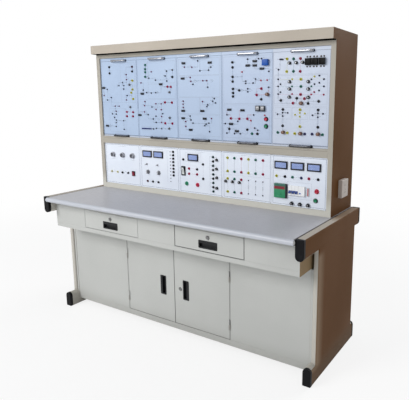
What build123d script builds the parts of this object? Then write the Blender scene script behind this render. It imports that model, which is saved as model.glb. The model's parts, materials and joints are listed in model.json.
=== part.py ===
"""Power electronics trainer: a steel laboratory desk with drawers, a cabinet and an upright console.

The console holds five pull-out experiment modules above five fixed power panels. Millimetres; +X is the
user's right, -Y the front, +Z up, with the origin on the floor under the middle of the whole trainer.
"""

import os
from math import cos, radians, sin, sqrt

from build123d import *

os.makedirs("parts", exist_ok=True)

# Desk, and its two end frames of round-backed tube
desk_width = 1694
desk_depth = 764
desk_height = 765
board_thickness = 28
edge_tongue_thickness = 2.5
edge_tongue_depth = 9
tube_width = 42
tube_wall = 2
tube_corner = 2.5
cap_lip = 1
cap_length = 18
cap_plug_length = 14
cap_rounding = 2.5
nose_overhang = 19
beam_height = 98
foot_height = 92
foot_setback = 128.5
foot_length = 605
column_setback = 194.5
column_depth = 498
column_thickness = 28
column_corner = 8
column_wall = 2

# Sheet metal, and the clearances that repeat
sheet = 1.5
seam = 0.2
running_gap = 0.3
door_gap = 0.8

# Drawer housing and cabinet below the desk
housing_setback = 75
housing_depth = 560
housing_height = 165
cabinet_setback = 207.5
cabinet_depth = 470
cabinet_floor = 35
plinth_height = 35
hinge_line = 375
door_seam = -7
door_thickness = 18

# Drawers
drawer_width = 435
drawer_front_height = 108
drawer_front_thickness = 18
drawer_centres = (-366, 334)
drawer_floor_clearance = 28
tray_side_gap = 15
tray_floor_gap = 4
tray_depth = 440
tray_height = 90
runner_height = 45
runner_leg = 12

# Recessed pulls and key locks
pull_length = 118
pull_width = 43
pull_depth = 14
pull_flange = 5
pull_flange_thickness = 1.6
pull_lip = 9
pull_wall = 1.5
pull_corner = 3
pull_fit = 0.3
drawer_pull_height = 38
door_pull_height = 289
door_pull_offset = 84
lock_radius = 7
lock_face_radius = 9
lock_tip_radius = 8.4
lock_proud = 3
lock_barrel = 12
lock_cam_reach = 13
lock_cam_width = 8
lock_cam_thickness = 2
key_slot_length = 8
key_slot_width = 1.6
drawer_lock_height = 77
door_lock_offset = 43

# Door hinges
hinge_radius = 4
hinge_pin_radius = 2
hinge_pin_fit = 0.2
hinge_length = 60
hinge_heights = (160, 435)
hinge_leaf = 9

# Console
module_count = 5
module_width = 324
module_height = 505
stile_width = 27.5
console_depth = 302
console_back_inset = 5.5
frame_bar_depth = 30
panel_recess = 8
bottom_rail_height = 32
power_panel_height = 274
middle_rail_height = 46
top_rail_height = 78
rail_lip = 12
header_height = 52
header_depth = 42
plate_thickness = 3
case_depth = 70
case_wall = 2.5
case_inset = 4
shelf_depth = 200
louvre_width = 140
louvre_slot = 5
louvre_pitch = 16
louvre_rows = 6
louvre_columns = 4

# Bow handles on the modules
handle_span = 130
handle_bar = 8
handle_reach = 24
handle_bend = 12
handle_low = 7.5
handle_high = 19
handle_offset = 8

# Terminals and controls on the panels
jack_radius = 5.5
jack_tip_radius = 4.2
jack_height = 6
fuse_radius = 8
fuse_tip_radius = 6.5
fuse_height = 11
trimmer_radius = 7
trimmer_height = 8
knob_radius = 10
knob_tip_radius = 8
knob_height = 15
pointer_skirt_radius = 14
pointer_skirt_height = 5
pointer_grip_radius = 12
pointer_knob_height = 17
pointer_width = 6
button_radius = 9
button_length = 7
button_travel = 2.5
button_taper = 0.6
button_ring = 2.2
button_ring_height = 5
rocker_tilt = 10
rocker_frame = 2.5
rocker_frame_height = 6
rocker_proud = 7
rocker_valley = 1.5
rocker_heel = 5
rocker_pivot = 1.5
toggle_tilt = 12
toggle_bush_radius = 5
toggle_bush_height = 7
toggle_pocket_radius = 3
toggle_ball_radius = 2.2
toggle_neck_radius = 1.2
toggle_tip_radius = 1.9
toggle_length = 15
meter_width = 77
meter_height = 42
meter_proud = 7
meter_bezel = 5
connector_radius = 16
connector_barrel_radius = 13.5
connector_bore_radius = 11
connector_proud = 14
connector_flange = 3
breaker_width = 60
leakage_unit_width = 35
breaker_height = 54
breaker_proud = 11
lever_hub_radius = 5
lever_length = 11
lever_width = 12
lever_thickness = 4
lever_pitch = 20
lever_tilt = 30
lever_mouth = 4
housing_bevel = 2
relay_width = 75
relay_height = 78
relay_proud = 14
relay_knob_radius = 10
relay_knob_proud = 2
socket_box_width = 90
socket_box_height = 94
socket_box_depth = 22
socket_box_setback = 91.5
socket_box_floor = 88

# Supply transformer behind the power panels
core_width = 240
core_height = 200
core_thickness = 60
core_limb = 40
coil_build = 16

# Places that follow from the sizes above
front_y = -desk_depth / 2
back_y = desk_depth / 2
inner_x = desk_width / 2
tube_centre_x = inner_x + tube_width / 2
tube_outer_x = inner_x + tube_width
tube_radius = tube_width / 2
beam_crown_z = desk_height - beam_height + tube_radius
foot_crown_z = foot_height - tube_radius
beam_ends = (front_y + nose_overhang, back_y)
foot_ends = (front_y + foot_setback, front_y + foot_setback + foot_length)
column_front_y = front_y + column_setback
housing_front_y = front_y + housing_setback
housing_back_y = housing_front_y + housing_depth
housing_top = desk_height - board_thickness
housing_floor = housing_top - housing_height
drawer_floor = housing_floor + drawer_floor_clearance
drawer_top = drawer_floor + drawer_front_height
cabinet_front_y = front_y + cabinet_setback
cabinet_back_y = cabinet_front_y + cabinet_depth
door_floor = cabinet_floor + plinth_height
hinge_y = cabinet_front_y - hinge_radius
opening_x = module_count * module_width / 2
console_x = opening_x + stile_width
console_back_y = back_y - console_back_inset
console_front_y = console_back_y - console_depth
panel_face_y = console_front_y + panel_recess
plate_back_y = panel_face_y + plate_thickness
frame_back_y = console_front_y + frame_bar_depth
power_floor = desk_height + bottom_rail_height
power_top = power_floor + power_panel_height
module_floor = power_top + middle_rail_height
module_top = module_floor + module_height
console_top = module_top + top_rail_height
module_centres = [(place - (module_count - 1) / 2) * module_width for place in range(module_count)]
panel_plane = Plane.XZ.offset(-panel_face_y)
standing = (Align.CENTER, Align.CENTER, Align.MIN)


def block(x_limits, y_limits, z_limits, mode=Mode.ADD):
    """A sheet, board or bar between two limits on each axis."""
    (x0, x1), (y0, y1), (z0, z1) = x_limits, y_limits, z_limits
    with Locations(((x0 + x1) / 2, (y0 + y1) / 2, (z0 + z1) / 2)):
        Box(x1 - x0, y1 - y0, z1 - z0, mode=mode)


def span(centre, width):
    """The two limits of a width about its centre."""
    return centre - width / 2, centre + width / 2


def on_panel(centre_x, floor_z, places, proud=0.0):
    """Places facing the user, given as (across, up) from the middle of a panel's lower edge."""
    return Locations(
        *[panel_plane.location * Location((centre_x + x, floor_z + up, proud)) for x, up in places]
    )


def posts(places, sides, foot, tip, height):
    """Flat-sided posts, tapering from foot to tip, such as sockets, caps and plugs."""
    with BuildSketch() as lower:
        RegularPolygon(foot, sides)
    with BuildSketch(Plane.XY.offset(height)) as upper:
        RegularPolygon(tip, sides)
    post = loft([lower.sketch.face(), upper.sketch.face()], ruled=True, mode=Mode.PRIVATE)
    with places:
        add(post)


def bores(places, sides, inscribed, depth):
    """Flat-sided holes whose walls clear a round or flat-sided post of the inscribed radius."""
    with BuildSketch() as outline:
        RegularPolygon(inscribed, sides, major_radius=False)
    bore = extrude(outline.sketch, amount=depth, mode=Mode.PRIVATE)
    with places:
        add(bore, mode=Mode.SUBTRACT)


def tube_profile(height, crown_up, growth=0.0, flat_growth=0.0):
    """The end-frame tube's outline: a half circle on one end of a straight-sided section."""
    radius = tube_radius + growth
    if crown_up:
        crown_z, flat_z, crown_tip = foot_crown_z, -flat_growth, foot_crown_z + radius
    else:
        crown_z, flat_z, crown_tip = beam_crown_z, desk_height + flat_growth, beam_crown_z - radius
    left, right = tube_centre_x - radius, tube_centre_x + radius
    edge_z = flat_z + tube_corner if crown_up else flat_z - tube_corner
    with BuildSketch() as profile:
        with BuildLine():
            ThreePointArc((left, crown_z), (tube_centre_x, crown_tip), (right, crown_z))
            Polyline(
                (right, crown_z),
                (right, edge_z),
                (right - tube_corner, flat_z),
                (left + tube_corner, flat_z),
                (left, edge_z),
                (left, crown_z),
            )
        make_face()
    return profile.sketch


# End frames: a top beam and a foot of round-backed tube, with a flat column coped between them
with BuildPart() as side_frames:
    with BuildSketch(Plane.XY.offset(foot_crown_z)):
        with Locations((tube_outer_x - column_thickness / 2, column_front_y + column_depth / 2)):
            RectangleRounded(column_thickness, column_depth, column_corner)
            Rectangle(
                column_thickness - 2 * column_wall, column_depth - 2 * column_corner, mode=Mode.SUBTRACT
            )
    extrude(amount=beam_crown_z - foot_crown_z)
    for crown_z in (beam_crown_z, foot_crown_z):
        with Locations((tube_centre_x, 0, crown_z)):
            Cylinder(tube_radius + seam, 2 * desk_depth, rotation=(90, 0, 0), mode=Mode.SUBTRACT)
    for ends, height, crown_up in ((beam_ends, beam_height, False), (foot_ends, foot_height, True)):
        with BuildSketch(Plane.XZ.offset(cap_length - ends[1])):
            add(tube_profile(height, crown_up))
            offset(amount=-tube_wall, mode=Mode.SUBTRACT)
        extrude(amount=ends[1] - ends[0] - 2 * cap_length)
    mirror(about=Plane.YZ)
side_frames.part.label = "side_frames"
export_step(side_frames.part, "parts/side_frames.step")

# Moulded caps, plugged into the tube ends
with BuildPart() as end_caps:
    for ends, height, crown_up, flat_lip in (
        (beam_ends, beam_height, False, cap_lip),
        (foot_ends, foot_height, True, 0.0),
    ):
        for end_y, inward in ((ends[0], 1), (ends[1], -1)):
            with BuildSketch(Plane.XZ.offset(-end_y)):
                add(tube_profile(height, crown_up, cap_lip, flat_lip))
            extrude(amount=-inward * cap_length)
            outer_face = end_caps.faces().filter_by_position(Axis.Y, end_y - seam, end_y + seam)
            chamfer(outer_face.edges(), cap_rounding)
            plug_half = tube_radius - tube_wall - seam
            plug_y = sorted((end_y + inward * cap_length, end_y + inward * (cap_length + cap_plug_length)))
            if crown_up:
                plug_z = (tube_wall + seam, foot_crown_z)
            else:
                plug_z = (beam_crown_z, desk_height - tube_wall - seam)
            block(span(tube_centre_x, 2 * plug_half - tube_corner), plug_y, plug_z)
    mirror(about=Plane.YZ)
end_caps.part.label = "end_caps"
export_step(end_caps.part, "parts/end_caps.step")

# Laminated board, and the half-round edge strip whose tongue sits in the board's groove
edge_radius = board_thickness / 2
board_front_y = front_y + edge_radius + seam
board_middle_z = desk_height - edge_radius
board_half = inner_x - cap_lip - seam

with BuildPart() as desk_top:
    block((-board_half, board_half), (board_front_y, console_back_y), (housing_top, desk_height))
    block(
        (-board_half, board_half),
        (board_front_y, front_y + edge_radius + edge_tongue_depth + seam),
        span(board_middle_z, edge_tongue_thickness + 2 * seam),
        mode=Mode.SUBTRACT,
    )
    with BuildSketch(Plane.YZ.offset(-board_half)):
        with BuildLine():
            ThreePointArc(
                (front_y + edge_radius, desk_height),
                (front_y, board_middle_z),
                (front_y + edge_radius, housing_top),
            )
            Line((front_y + edge_radius, housing_top), (front_y + edge_radius, desk_height))
        make_face()
        with Locations((front_y + edge_radius, board_middle_z)):
            Rectangle(edge_tongue_depth, edge_tongue_thickness, align=(Align.MIN, Align.CENTER))
    extrude(amount=2 * board_half)
desk_top.part.label = "desk_top"
export_step(desk_top.part, "parts/desk_top.step")

# Drawer housing: sheet walls, a front of rails and stiles, and an angle runner each side of a drawer
housing_front = (housing_front_y, housing_front_y + sheet)
housing_inside_y = (housing_front[1] + seam, housing_back_y)
opening_floor = drawer_floor - running_gap - sheet
opening_top = drawer_top + sheet
drawer_openings = [span(centre, drawer_width) for centre in drawer_centres]
stile_ends = [-inner_x, *[x for limits in drawer_openings for x in limits], inner_x]

with BuildPart() as drawer_housing:
    for side in (-1, 1):
        wall_x = sorted((side * inner_x, side * (inner_x - sheet)))
        block(wall_x, housing_inside_y, (housing_floor, housing_top))
    floor_x = (-inner_x + sheet + seam, inner_x - sheet - seam)
    block(floor_x, housing_inside_y, (housing_floor, housing_floor + sheet))
    back_wall_y = (housing_back_y - sheet, housing_back_y)
    block(floor_x, back_wall_y, (housing_floor + sheet + seam, housing_top))
    block((-inner_x, inner_x), housing_front, (housing_floor, opening_floor - seam))
    block((-inner_x, inner_x), housing_front, (opening_top + seam, housing_top))
    for left, right in zip(stile_ends[::2], stile_ends[1::2]):
        block((left, right), housing_front, (opening_floor, opening_top))
    for centre in drawer_centres:
        for side in (-1, 1):
            web = centre + side * (drawer_width / 2 - tray_side_gap + running_gap)
            runner_y = (housing_front[1] + drawer_front_thickness, housing_front_y + tray_depth)
            runner_base = housing_floor + sheet
            leg_top = drawer_floor + tray_floor_gap - running_gap
            block(sorted((web, web + side * sheet)), runner_y, (runner_base, runner_base + runner_height))
            block(sorted((web, web - side * runner_leg)), runner_y, (leg_top - sheet, leg_top))
drawer_housing.part.label = "drawer_housing"
export_step(drawer_housing.part, "parts/drawer_housing.step")


def on_front(face_y, shape):
    """Lays a flat shape, drawn as (across, height), on an upright face that looks to the front."""
    return Plane.XZ.offset(-face_y) * shape


def cut_pull_and_lock(face_y, pull_x, pull_z, turn, lock_x, lock_z):
    """Opens a hollow front for its recessed pull and, where it has one, its lock barrel."""
    cup_length, cup_width = pull_length - 2 * pull_flange, pull_width - 2 * pull_flange
    with BuildSketch() as openings:
        with Locations(Location((pull_x, pull_z), turn)):
            Rectangle(cup_length + 2 * pull_fit, cup_width + 2 * pull_fit)
        if lock_x is not None:
            with Locations((lock_x, lock_z)):
                Circle(lock_radius + running_gap)
    extrude(on_front(face_y, openings.sketch), amount=-sheet, mode=Mode.SUBTRACT)


def hollow_front(x_limits, face_y, z_limits, thickness):
    """A folded double-skinned front, such as a drawer's or a door's."""
    block(x_limits, (face_y, face_y + thickness), z_limits)
    block(
        (x_limits[0] + sheet, x_limits[1] - sheet),
        (face_y + sheet, face_y + thickness - sheet),
        (z_limits[0] + sheet, z_limits[1] - sheet),
        mode=Mode.SUBTRACT,
    )


def recessed_pull(face_y, pull_x, pull_z, turn):
    """A moulded finger cup: a flange on the face, a pocket behind it and a lip to pull on."""
    cup_length, cup_width = pull_length - 2 * pull_flange, pull_width - 2 * pull_flange
    pocket_length, pocket_width = cup_length - 2 * pull_wall, cup_width - 2 * pull_wall
    place = Location((pull_x, pull_z), turn)
    with BuildSketch() as flange:
        with Locations(place):
            Rectangle(pull_length, pull_width)
        chamfer(flange.vertices(), pull_corner)
    with BuildSketch() as cup:
        with Locations(place):
            Rectangle(cup_length, cup_width)
    with BuildSketch() as pocket:
        with Locations(place):
            Rectangle(pocket_length, pocket_width)
    with BuildSketch() as mouth:
        with Locations(place * Location((0, -pull_lip / 2))):
            Rectangle(pocket_length, pocket_width - pull_lip)
    extrude(on_front(face_y, flange.sketch), amount=pull_flange_thickness)
    extrude(on_front(face_y, cup.sketch), amount=-pull_depth)
    extrude(on_front(face_y, pocket.sketch), amount=-(pull_depth - pull_wall), mode=Mode.SUBTRACT)
    extrude(on_front(face_y, mouth.sketch), amount=pull_flange_thickness, mode=Mode.SUBTRACT)


def key_lock(face_y, lock_x, lock_z, cam_turn):
    """A turning lock plug: a round face with its key slot, a barrel, and the cam behind."""
    face = Plane.XZ.offset(-face_y).location * Location((lock_x, lock_z, 0))
    posts(Locations(face * Location((0, 0, running_gap))), 20, lock_face_radius, lock_tip_radius, lock_proud)
    barrel_end = Locations(face * Location((0, 0, -lock_barrel)))
    posts(barrel_end, 12, lock_radius, lock_radius, lock_barrel + running_gap)
    with Locations(face * Location((0, 0, -lock_barrel - lock_cam_thickness), (0, 0, cam_turn))):
        Box(lock_cam_reach, lock_cam_width, lock_cam_thickness, align=(Align.MIN, Align.CENTER, Align.MIN))
    with Locations(face * Location((0, 0, running_gap + lock_proud))):
        Box(key_slot_width, key_slot_length, lock_proud, mode=Mode.SUBTRACT)


# Drawers: a double-skinned front and an open tray, with the pull and the lock on the front
for hand, centre in zip(("left", "right"), drawer_centres):
    front_x = span(centre, drawer_width - 2 * sheet)
    tray_x = span(centre, drawer_width - 2 * tray_side_gap)
    front_back_y = housing_front_y + drawer_front_thickness
    pull_z = drawer_floor + drawer_pull_height
    lock_z = drawer_floor + drawer_lock_height
    tray_z = (drawer_floor + tray_floor_gap, drawer_floor + tray_floor_gap + tray_height)
    with BuildPart() as drawer:
        hollow_front(front_x, housing_front_y, (drawer_floor, drawer_top), drawer_front_thickness)
        cut_pull_and_lock(housing_front_y, centre, pull_z, 0, centre, lock_z)
        block(tray_x, (front_back_y, front_back_y + tray_depth), tray_z)
        block(
            (tray_x[0] + sheet, tray_x[1] - sheet),
            (front_back_y, front_back_y + tray_depth - sheet),
            (tray_z[0] + sheet, tray_z[1]),
            mode=Mode.SUBTRACT,
        )
    drawer.part.label = f"{hand}_drawer"
    export_step(drawer.part, f"parts/{hand}_drawer.step")

    with BuildPart() as drawer_pull:
        recessed_pull(housing_front_y, centre, pull_z, 0)
    drawer_pull.part.label = f"{hand}_drawer_pull"
    export_step(drawer_pull.part, f"parts/{hand}_drawer_pull.step")

    with BuildPart() as drawer_lock:
        key_lock(housing_front_y, centre, lock_z, 0)
    drawer_lock.part.label = f"{hand}_drawer_lock"
    export_step(drawer_lock.part, f"parts/{hand}_drawer_lock.step")

# Cabinet shell: sheet walls, two partitions that carry the doors, fixed fronts and a plinth
cabinet_front = (cabinet_front_y, cabinet_front_y + sheet)
cabinet_inside_y = (cabinet_front[1] + seam, cabinet_back_y)
inside_x = (-inner_x + sheet + seam, inner_x - sheet - seam)

with BuildPart() as cabinet_shell:
    for side in (-1, 1):
        wall_x = sorted((side * inner_x, side * (inner_x - sheet)))
        block(wall_x, cabinet_inside_y, (cabinet_floor, housing_floor))
        partition_x = sorted((side * (hinge_line + door_gap), side * (hinge_line + door_gap + sheet)))
        partition_z = (cabinet_floor + sheet + seam, housing_floor - sheet - seam)
        block(partition_x, (cabinet_inside_y[0], cabinet_back_y - sheet - seam), partition_z)
        fixed_x = sorted((side * (hinge_line + door_gap), side * inner_x))
        block(fixed_x, cabinet_front, (door_floor + seam, housing_floor))
    block(inside_x, cabinet_inside_y, (cabinet_floor, cabinet_floor + sheet))
    block(inside_x, cabinet_inside_y, (housing_floor - sheet, housing_floor))
    back_z = (cabinet_floor + sheet + seam, housing_floor - sheet - seam)
    block(inside_x, (cabinet_back_y - sheet, cabinet_back_y), back_z)
    block((-inner_x, inner_x), cabinet_front, (cabinet_floor, door_floor))
cabinet_shell.part.label = "cabinet_shell"
export_step(cabinet_shell.part, "parts/cabinet_shell.step")

# Lift-off hinges: the lower half of each barrel, with its pin, on the fixed front beside the door
barrel_half = (hinge_length - running_gap) / 2

with BuildPart() as door_hinges:
    for side in (-1, 1):
        for middle_z in hinge_heights:
            barrel_foot = Locations((side * hinge_line, hinge_y, middle_z - hinge_length / 2))
            posts(barrel_foot, 12, hinge_radius, hinge_radius, barrel_half)
            posts(barrel_foot, 8, hinge_pin_radius, hinge_pin_radius, hinge_length - hinge_radius)
            leaf_x = sorted((side * hinge_line, side * (hinge_line + hinge_leaf)))
            leaf_y = (cabinet_front_y - sheet, cabinet_front_y)
            block(leaf_x, leaf_y, (middle_z - hinge_length / 2, middle_z - hinge_length / 2 + barrel_half))
door_hinges.part.label = "door_hinges"
export_step(door_hinges.part, "parts/door_hinges.step")

# Doors: double-skinned leaves that carry the upper half of each hinge barrel
door_z = (door_floor + sheet, housing_floor - 2 * sheet)
door_spans = {
    "left": (-hinge_line + door_gap, door_seam - door_gap),
    "right": (door_seam + door_gap, hinge_line - door_gap),
}

for hand, side in (("left", -1), ("right", 1)):
    pull_x = door_seam + side * door_pull_offset
    lock_x = door_seam + door_lock_offset if side > 0 else None
    with BuildPart() as door:
        hollow_front(door_spans[hand], cabinet_front_y, door_z, door_thickness)
        cut_pull_and_lock(cabinet_front_y, pull_x, door_pull_height, 90, lock_x, door_pull_height)
        for middle_z in hinge_heights:
            barrel_z = (middle_z + running_gap / 2, middle_z + hinge_length / 2)
            leaf_x = sorted((side * (hinge_line - hinge_leaf), side * hinge_line))
            block(leaf_x, (cabinet_front_y - sheet, cabinet_front_y), barrel_z)
            barrel_foot = Locations((side * hinge_line, hinge_y, barrel_z[0]))
            posts(barrel_foot, 12, hinge_radius, hinge_radius, barrel_half)
            bores(barrel_foot, 12, hinge_pin_radius + hinge_pin_fit, barrel_half)
    door.part.label = f"{hand}_door"
    export_step(door.part, f"parts/{hand}_door.step")

    with BuildPart() as door_pull:
        recessed_pull(cabinet_front_y, pull_x, door_pull_height, side * -90)
    door_pull.part.label = f"{hand}_door_pull"
    export_step(door_pull.part, f"parts/{hand}_door_pull.step")

with BuildPart() as door_lock:
    key_lock(cabinet_front_y, door_seam + door_lock_offset, door_pull_height, -90)
door_lock.part.label = "door_lock"
export_step(door_lock.part, "parts/door_lock.step")

# Console shell: side sheets, top, louvred back, floor, and the shelf that carries the modules
console_inside_x = (-console_x + sheet + seam, console_x - sheet - seam)

with BuildPart() as console_shell:
    for side in (-1, 1):
        wall_x = sorted((side * console_x, side * (console_x - sheet)))
        block(wall_x, (console_front_y, console_back_y), (desk_height, console_top))
    lid_y = (frame_back_y + seam, console_back_y)
    block(console_inside_x, lid_y, (console_top - sheet, console_top))
    block(console_inside_x, lid_y, (desk_height, desk_height + sheet))
    shelf_y = (frame_back_y + seam, frame_back_y + shelf_depth)
    block(console_inside_x, shelf_y, (module_floor - sheet, module_floor))
    back_z = (desk_height + sheet + seam, console_top - sheet - seam)
    block(console_inside_x, (console_back_y - sheet, console_back_y), back_z)
    louvre_middle_z = (module_floor + module_top) / 2
    with Locations(Plane.XZ.offset(-console_back_y).location * Location((0, louvre_middle_z, 0))):
        with GridLocations(console_x / 2, louvre_pitch, louvre_columns, louvre_rows):
            Box(louvre_width, louvre_slot, 4 * sheet, mode=Mode.SUBTRACT)
console_shell.part.label = "console_shell"
export_step(console_shell.part, "parts/console_shell.step")

# Console front frame: two stiles and three rails of folded sheet, lipped behind the panels they carry
rail_x = (-opening_x + seam, opening_x - seam)
frame_y = (console_front_y, frame_back_y)
lip_y = (plate_back_y, plate_back_y + 2 * sheet)
frame_bars = [
    (rail_x, (desk_height, power_floor)),
    (rail_x, (power_top, module_floor)),
    (rail_x, (module_top, console_top)),
]
for side in (-1, 1):
    stile_x = sorted((side * opening_x, side * (console_x - sheet - seam)))
    frame_bars.append((stile_x, (desk_height, console_top)))

with BuildPart() as console_frame:
    for bar_x, bar_z in frame_bars:
        block(bar_x, frame_y, bar_z)
    for (x0, x1), (z0, z1) in frame_bars:
        hollow_y = (console_front_y + sheet, frame_back_y)
        block((x0 + sheet, x1 - sheet), hollow_y, (z0 + sheet, z1 - sheet), mode=Mode.SUBTRACT)
    block(rail_x, lip_y, (power_floor, power_floor + rail_lip))
    block(rail_x, lip_y, (power_top - rail_lip, power_top))
console_frame.part.label = "console_frame"
export_step(console_frame.part, "parts/console_frame.step")

# Header: an open-bottomed hood of folded sheet across the top of the frame
header_y = (console_front_y - header_depth, console_front_y)

with BuildPart() as header_hood:
    block((-console_x, console_x), header_y, (console_top - header_height, console_top))
    block(
        (-console_x + sheet, console_x - sheet),
        (header_y[0] + sheet, header_y[1]),
        (console_top - header_height, console_top - sheet),
        mode=Mode.SUBTRACT,
    )
    hood_corner = header_hood.edges().filter_by(Axis.X).group_by(Axis.Y)[0].sort_by(Axis.Z)[-1]
    chamfer(hood_corner, sheet / 2)
header_hood.part.label = "header_hood"
export_step(header_hood.part, "parts/header_hood.step")

# Supply transformer on the console floor: a three-limbed core with a winding on each limb
core_middle_y = (frame_back_y + console_back_y) / 2
core_floor = desk_height + sheet
window_height = core_height - 2 * core_limb
limb_pitch = (core_width - core_limb) / 2
window_width = limb_pitch - core_limb

with BuildPart() as isolating_transformer:
    with BuildSketch(Plane.XZ.offset(-core_middle_y)):
        with Locations((0, core_floor + core_height / 2)):
            Rectangle(core_width, core_height)
            with GridLocations(limb_pitch, 0, 2, 1):
                Rectangle(window_width, window_height, mode=Mode.SUBTRACT)
    extrude(amount=core_thickness / 2, both=True)
    coil_floor = core_floor + core_limb + running_gap
    with BuildSketch(Plane.XY.offset(coil_floor)):
        with Locations((0, core_middle_y)):
            with GridLocations(limb_pitch, 0, 3, 1):
                Rectangle(core_limb + 2 * coil_build, core_thickness + 2 * coil_build)
                Rectangle(
                    core_limb + 2 * running_gap, core_thickness + 2 * running_gap, mode=Mode.SUBTRACT
                )
    extrude(amount=window_height - 2 * running_gap)
isolating_transformer.part.label = "isolating_transformer"
export_step(isolating_transformer.part, "parts/isolating_transformer.step")

# Power panels: five plates screwed to the rails' lips
with BuildPart() as power_panels:
    for centre in module_centres:
        block(
            span(centre, module_width - 2 * running_gap),
            (panel_face_y, plate_back_y),
            (power_floor + running_gap, power_top - running_gap),
        )
power_panels.part.label = "power_panels"
export_step(power_panels.part, "parts/power_panels.step")

# Experiment modules: a printed plate closing a shallow case, with a bow handle at the top and bottom
inner_bend = handle_bend - handle_bar * (2 - sqrt(2))

for number, centre in enumerate(module_centres, start=1):
    plate_z = (module_floor + running_gap, module_top - running_gap)
    case_x = span(centre, module_width - 2 * case_inset)
    case_z = (plate_z[0], plate_z[1] - case_inset)
    case_y = (plate_back_y + seam, plate_back_y + case_depth)
    with BuildPart() as module:
        block(span(centre, module_width - 2 * running_gap), (panel_face_y, plate_back_y), plate_z)
        block(case_x, case_y, case_z)
        block(
            (case_x[0] + case_wall, case_x[1] - case_wall),
            (case_y[0] + case_wall, case_y[1] - case_wall),
            (case_z[0] + case_wall, case_z[1] - case_wall),
            mode=Mode.SUBTRACT,
        )
    module.part.label = f"module_{number}"
    export_step(module.part, f"parts/module_{number}.step")

    with BuildPart() as handles:
        for handle_z in (module_floor + handle_low, module_top - handle_high):
            with BuildSketch(Plane.XY.offset(handle_z - handle_bar / 2)):
                for half_span, reach, bend, mode in (
                    (handle_span / 2, handle_reach, handle_bend, Mode.ADD),
                    (handle_span / 2 - handle_bar, handle_reach - handle_bar, inner_bend, Mode.SUBTRACT),
                ):
                    left = centre + handle_offset - half_span
                    right = centre + handle_offset + half_span
                    front = panel_face_y - reach
                    with BuildLine():
                        Polyline(
                            (left, panel_face_y),
                            (left, front + bend),
                            (left + bend, front),
                            (right - bend, front),
                            (right, front + bend),
                            (right, panel_face_y),
                            close=True,
                        )
                    make_face(mode=mode)
            extrude(amount=handle_bar)
    handles.part.label = f"module_{number}_handles"
    export_step(handles.part, f"parts/module_{number}_handles.step")


def jacks(places):
    """Insulated sockets: slightly tapered collars seated on the panel."""
    posts(places, 8, jack_radius, jack_tip_radius, jack_height)


def fuse_holders(places):
    """Screw-in fuse carriers, which stand further out than a socket."""
    posts(places, 12, fuse_radius, fuse_tip_radius, fuse_height)


def trimmers(places):
    """Small round adjusters with a plain cap."""
    posts(places, 10, trimmer_radius, trimmer_radius, trimmer_height)


def housings(places, width, height, proud):
    """Square-cornered component housings fixed to the panel."""
    with places:
        Box(width, height, proud, align=standing)


def button_rings(places):
    """Bezels that guide the push buttons."""
    outer = button_radius + running_gap + button_ring
    posts(places, 16, outer, outer, button_ring_height)
    bores(places, 16, button_radius + running_gap, button_ring_height)


def rocker_frames(places, width, height):
    """The snap-in frame round a rocker."""
    with places:
        Box(width, height, rocker_frame_height, align=standing)
        Box(
            width - 2 * rocker_frame,
            height - 2 * rocker_frame,
            rocker_frame_height,
            align=standing,
            mode=Mode.SUBTRACT,
        )


# Terminals of the experiment modules, as (across, up) from the middle of each module's lower edge
with BuildPart() as module_1_terminals:
    centre = module_centres[0]
    jacks(on_panel(centre, module_floor, [(-79, 449), (-79, 410), (124, 417), (125, 445)]))
    jacks(on_panel(centre, module_floor, [(123, 360), (121, 305), (109, 285), (123, 246)]))
    jacks(on_panel(centre, module_floor, [(62, 163), (117, 162), (61, 135), (115, 136)]))
    trimmers(on_panel(centre, module_floor, [(96, 335), (95, 194)]))
module_1_terminals.part.label = "module_1_terminals"
export_step(module_1_terminals.part, "parts/module_1_terminals.step")

with BuildPart() as module_2_terminals:
    centre = module_centres[1]
    jacks(on_panel(centre, module_floor, [(-87, 452), (-89, 427), (-88, 409), (-90, 381), (128, 376)]))
    jacks(on_panel(centre, module_floor, [(88, 319), (113, 318), (64, 226), (119, 225)]))
    jacks(on_panel(centre, module_floor, [(61, 99), (118, 99)]))
    trimmers(on_panel(centre, module_floor, [(129, 417), (102, 286), (98, 133), (92, 67)]))
module_2_terminals.part.label = "module_2_terminals"
export_step(module_2_terminals.part, "parts/module_2_terminals.step")

# Module 4 also carries a capacitor block and two small relays
module_4_buttons = {"reset": (125, 141), "trigger": (125, 103)}

with BuildPart() as module_4_terminals:
    centre = module_centres[3]
    jacks(on_panel(centre, module_floor, [(-90, 445), (-89, 418), (-89, 367), (-89, 342), (-87, 302)]))
    jacks(on_panel(centre, module_floor, [(-86, 280), (-87, 261), (-46, 294), (94, 302), (65, 269)]))
    jacks(on_panel(centre, module_floor, [(94, 246), (-102, 140), (-46, 139), (6, 140)]))
    jacks(on_panel(centre, module_floor, [(-113, 81), (6, 81), (71, 60), (37, 60)]))
    housings(on_panel(centre, module_floor, [(120, 437)]), 35, 32, 14)
    housings(on_panel(centre, module_floor, [(75, 197), (105, 197)]), 27, 29, 12)
    button_rings(on_panel(centre, module_floor, module_4_buttons.values()))
module_4_terminals.part.label = "module_4_terminals"
export_step(module_4_terminals.part, "parts/module_4_terminals.step")

# Module 5 carries the rectifier: three phase columns, fuses, ribbed heat sinks and the load knobs
sink_side = 34
sink_depth = 16
sink_base = 5
sink_fins = 5

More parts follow.
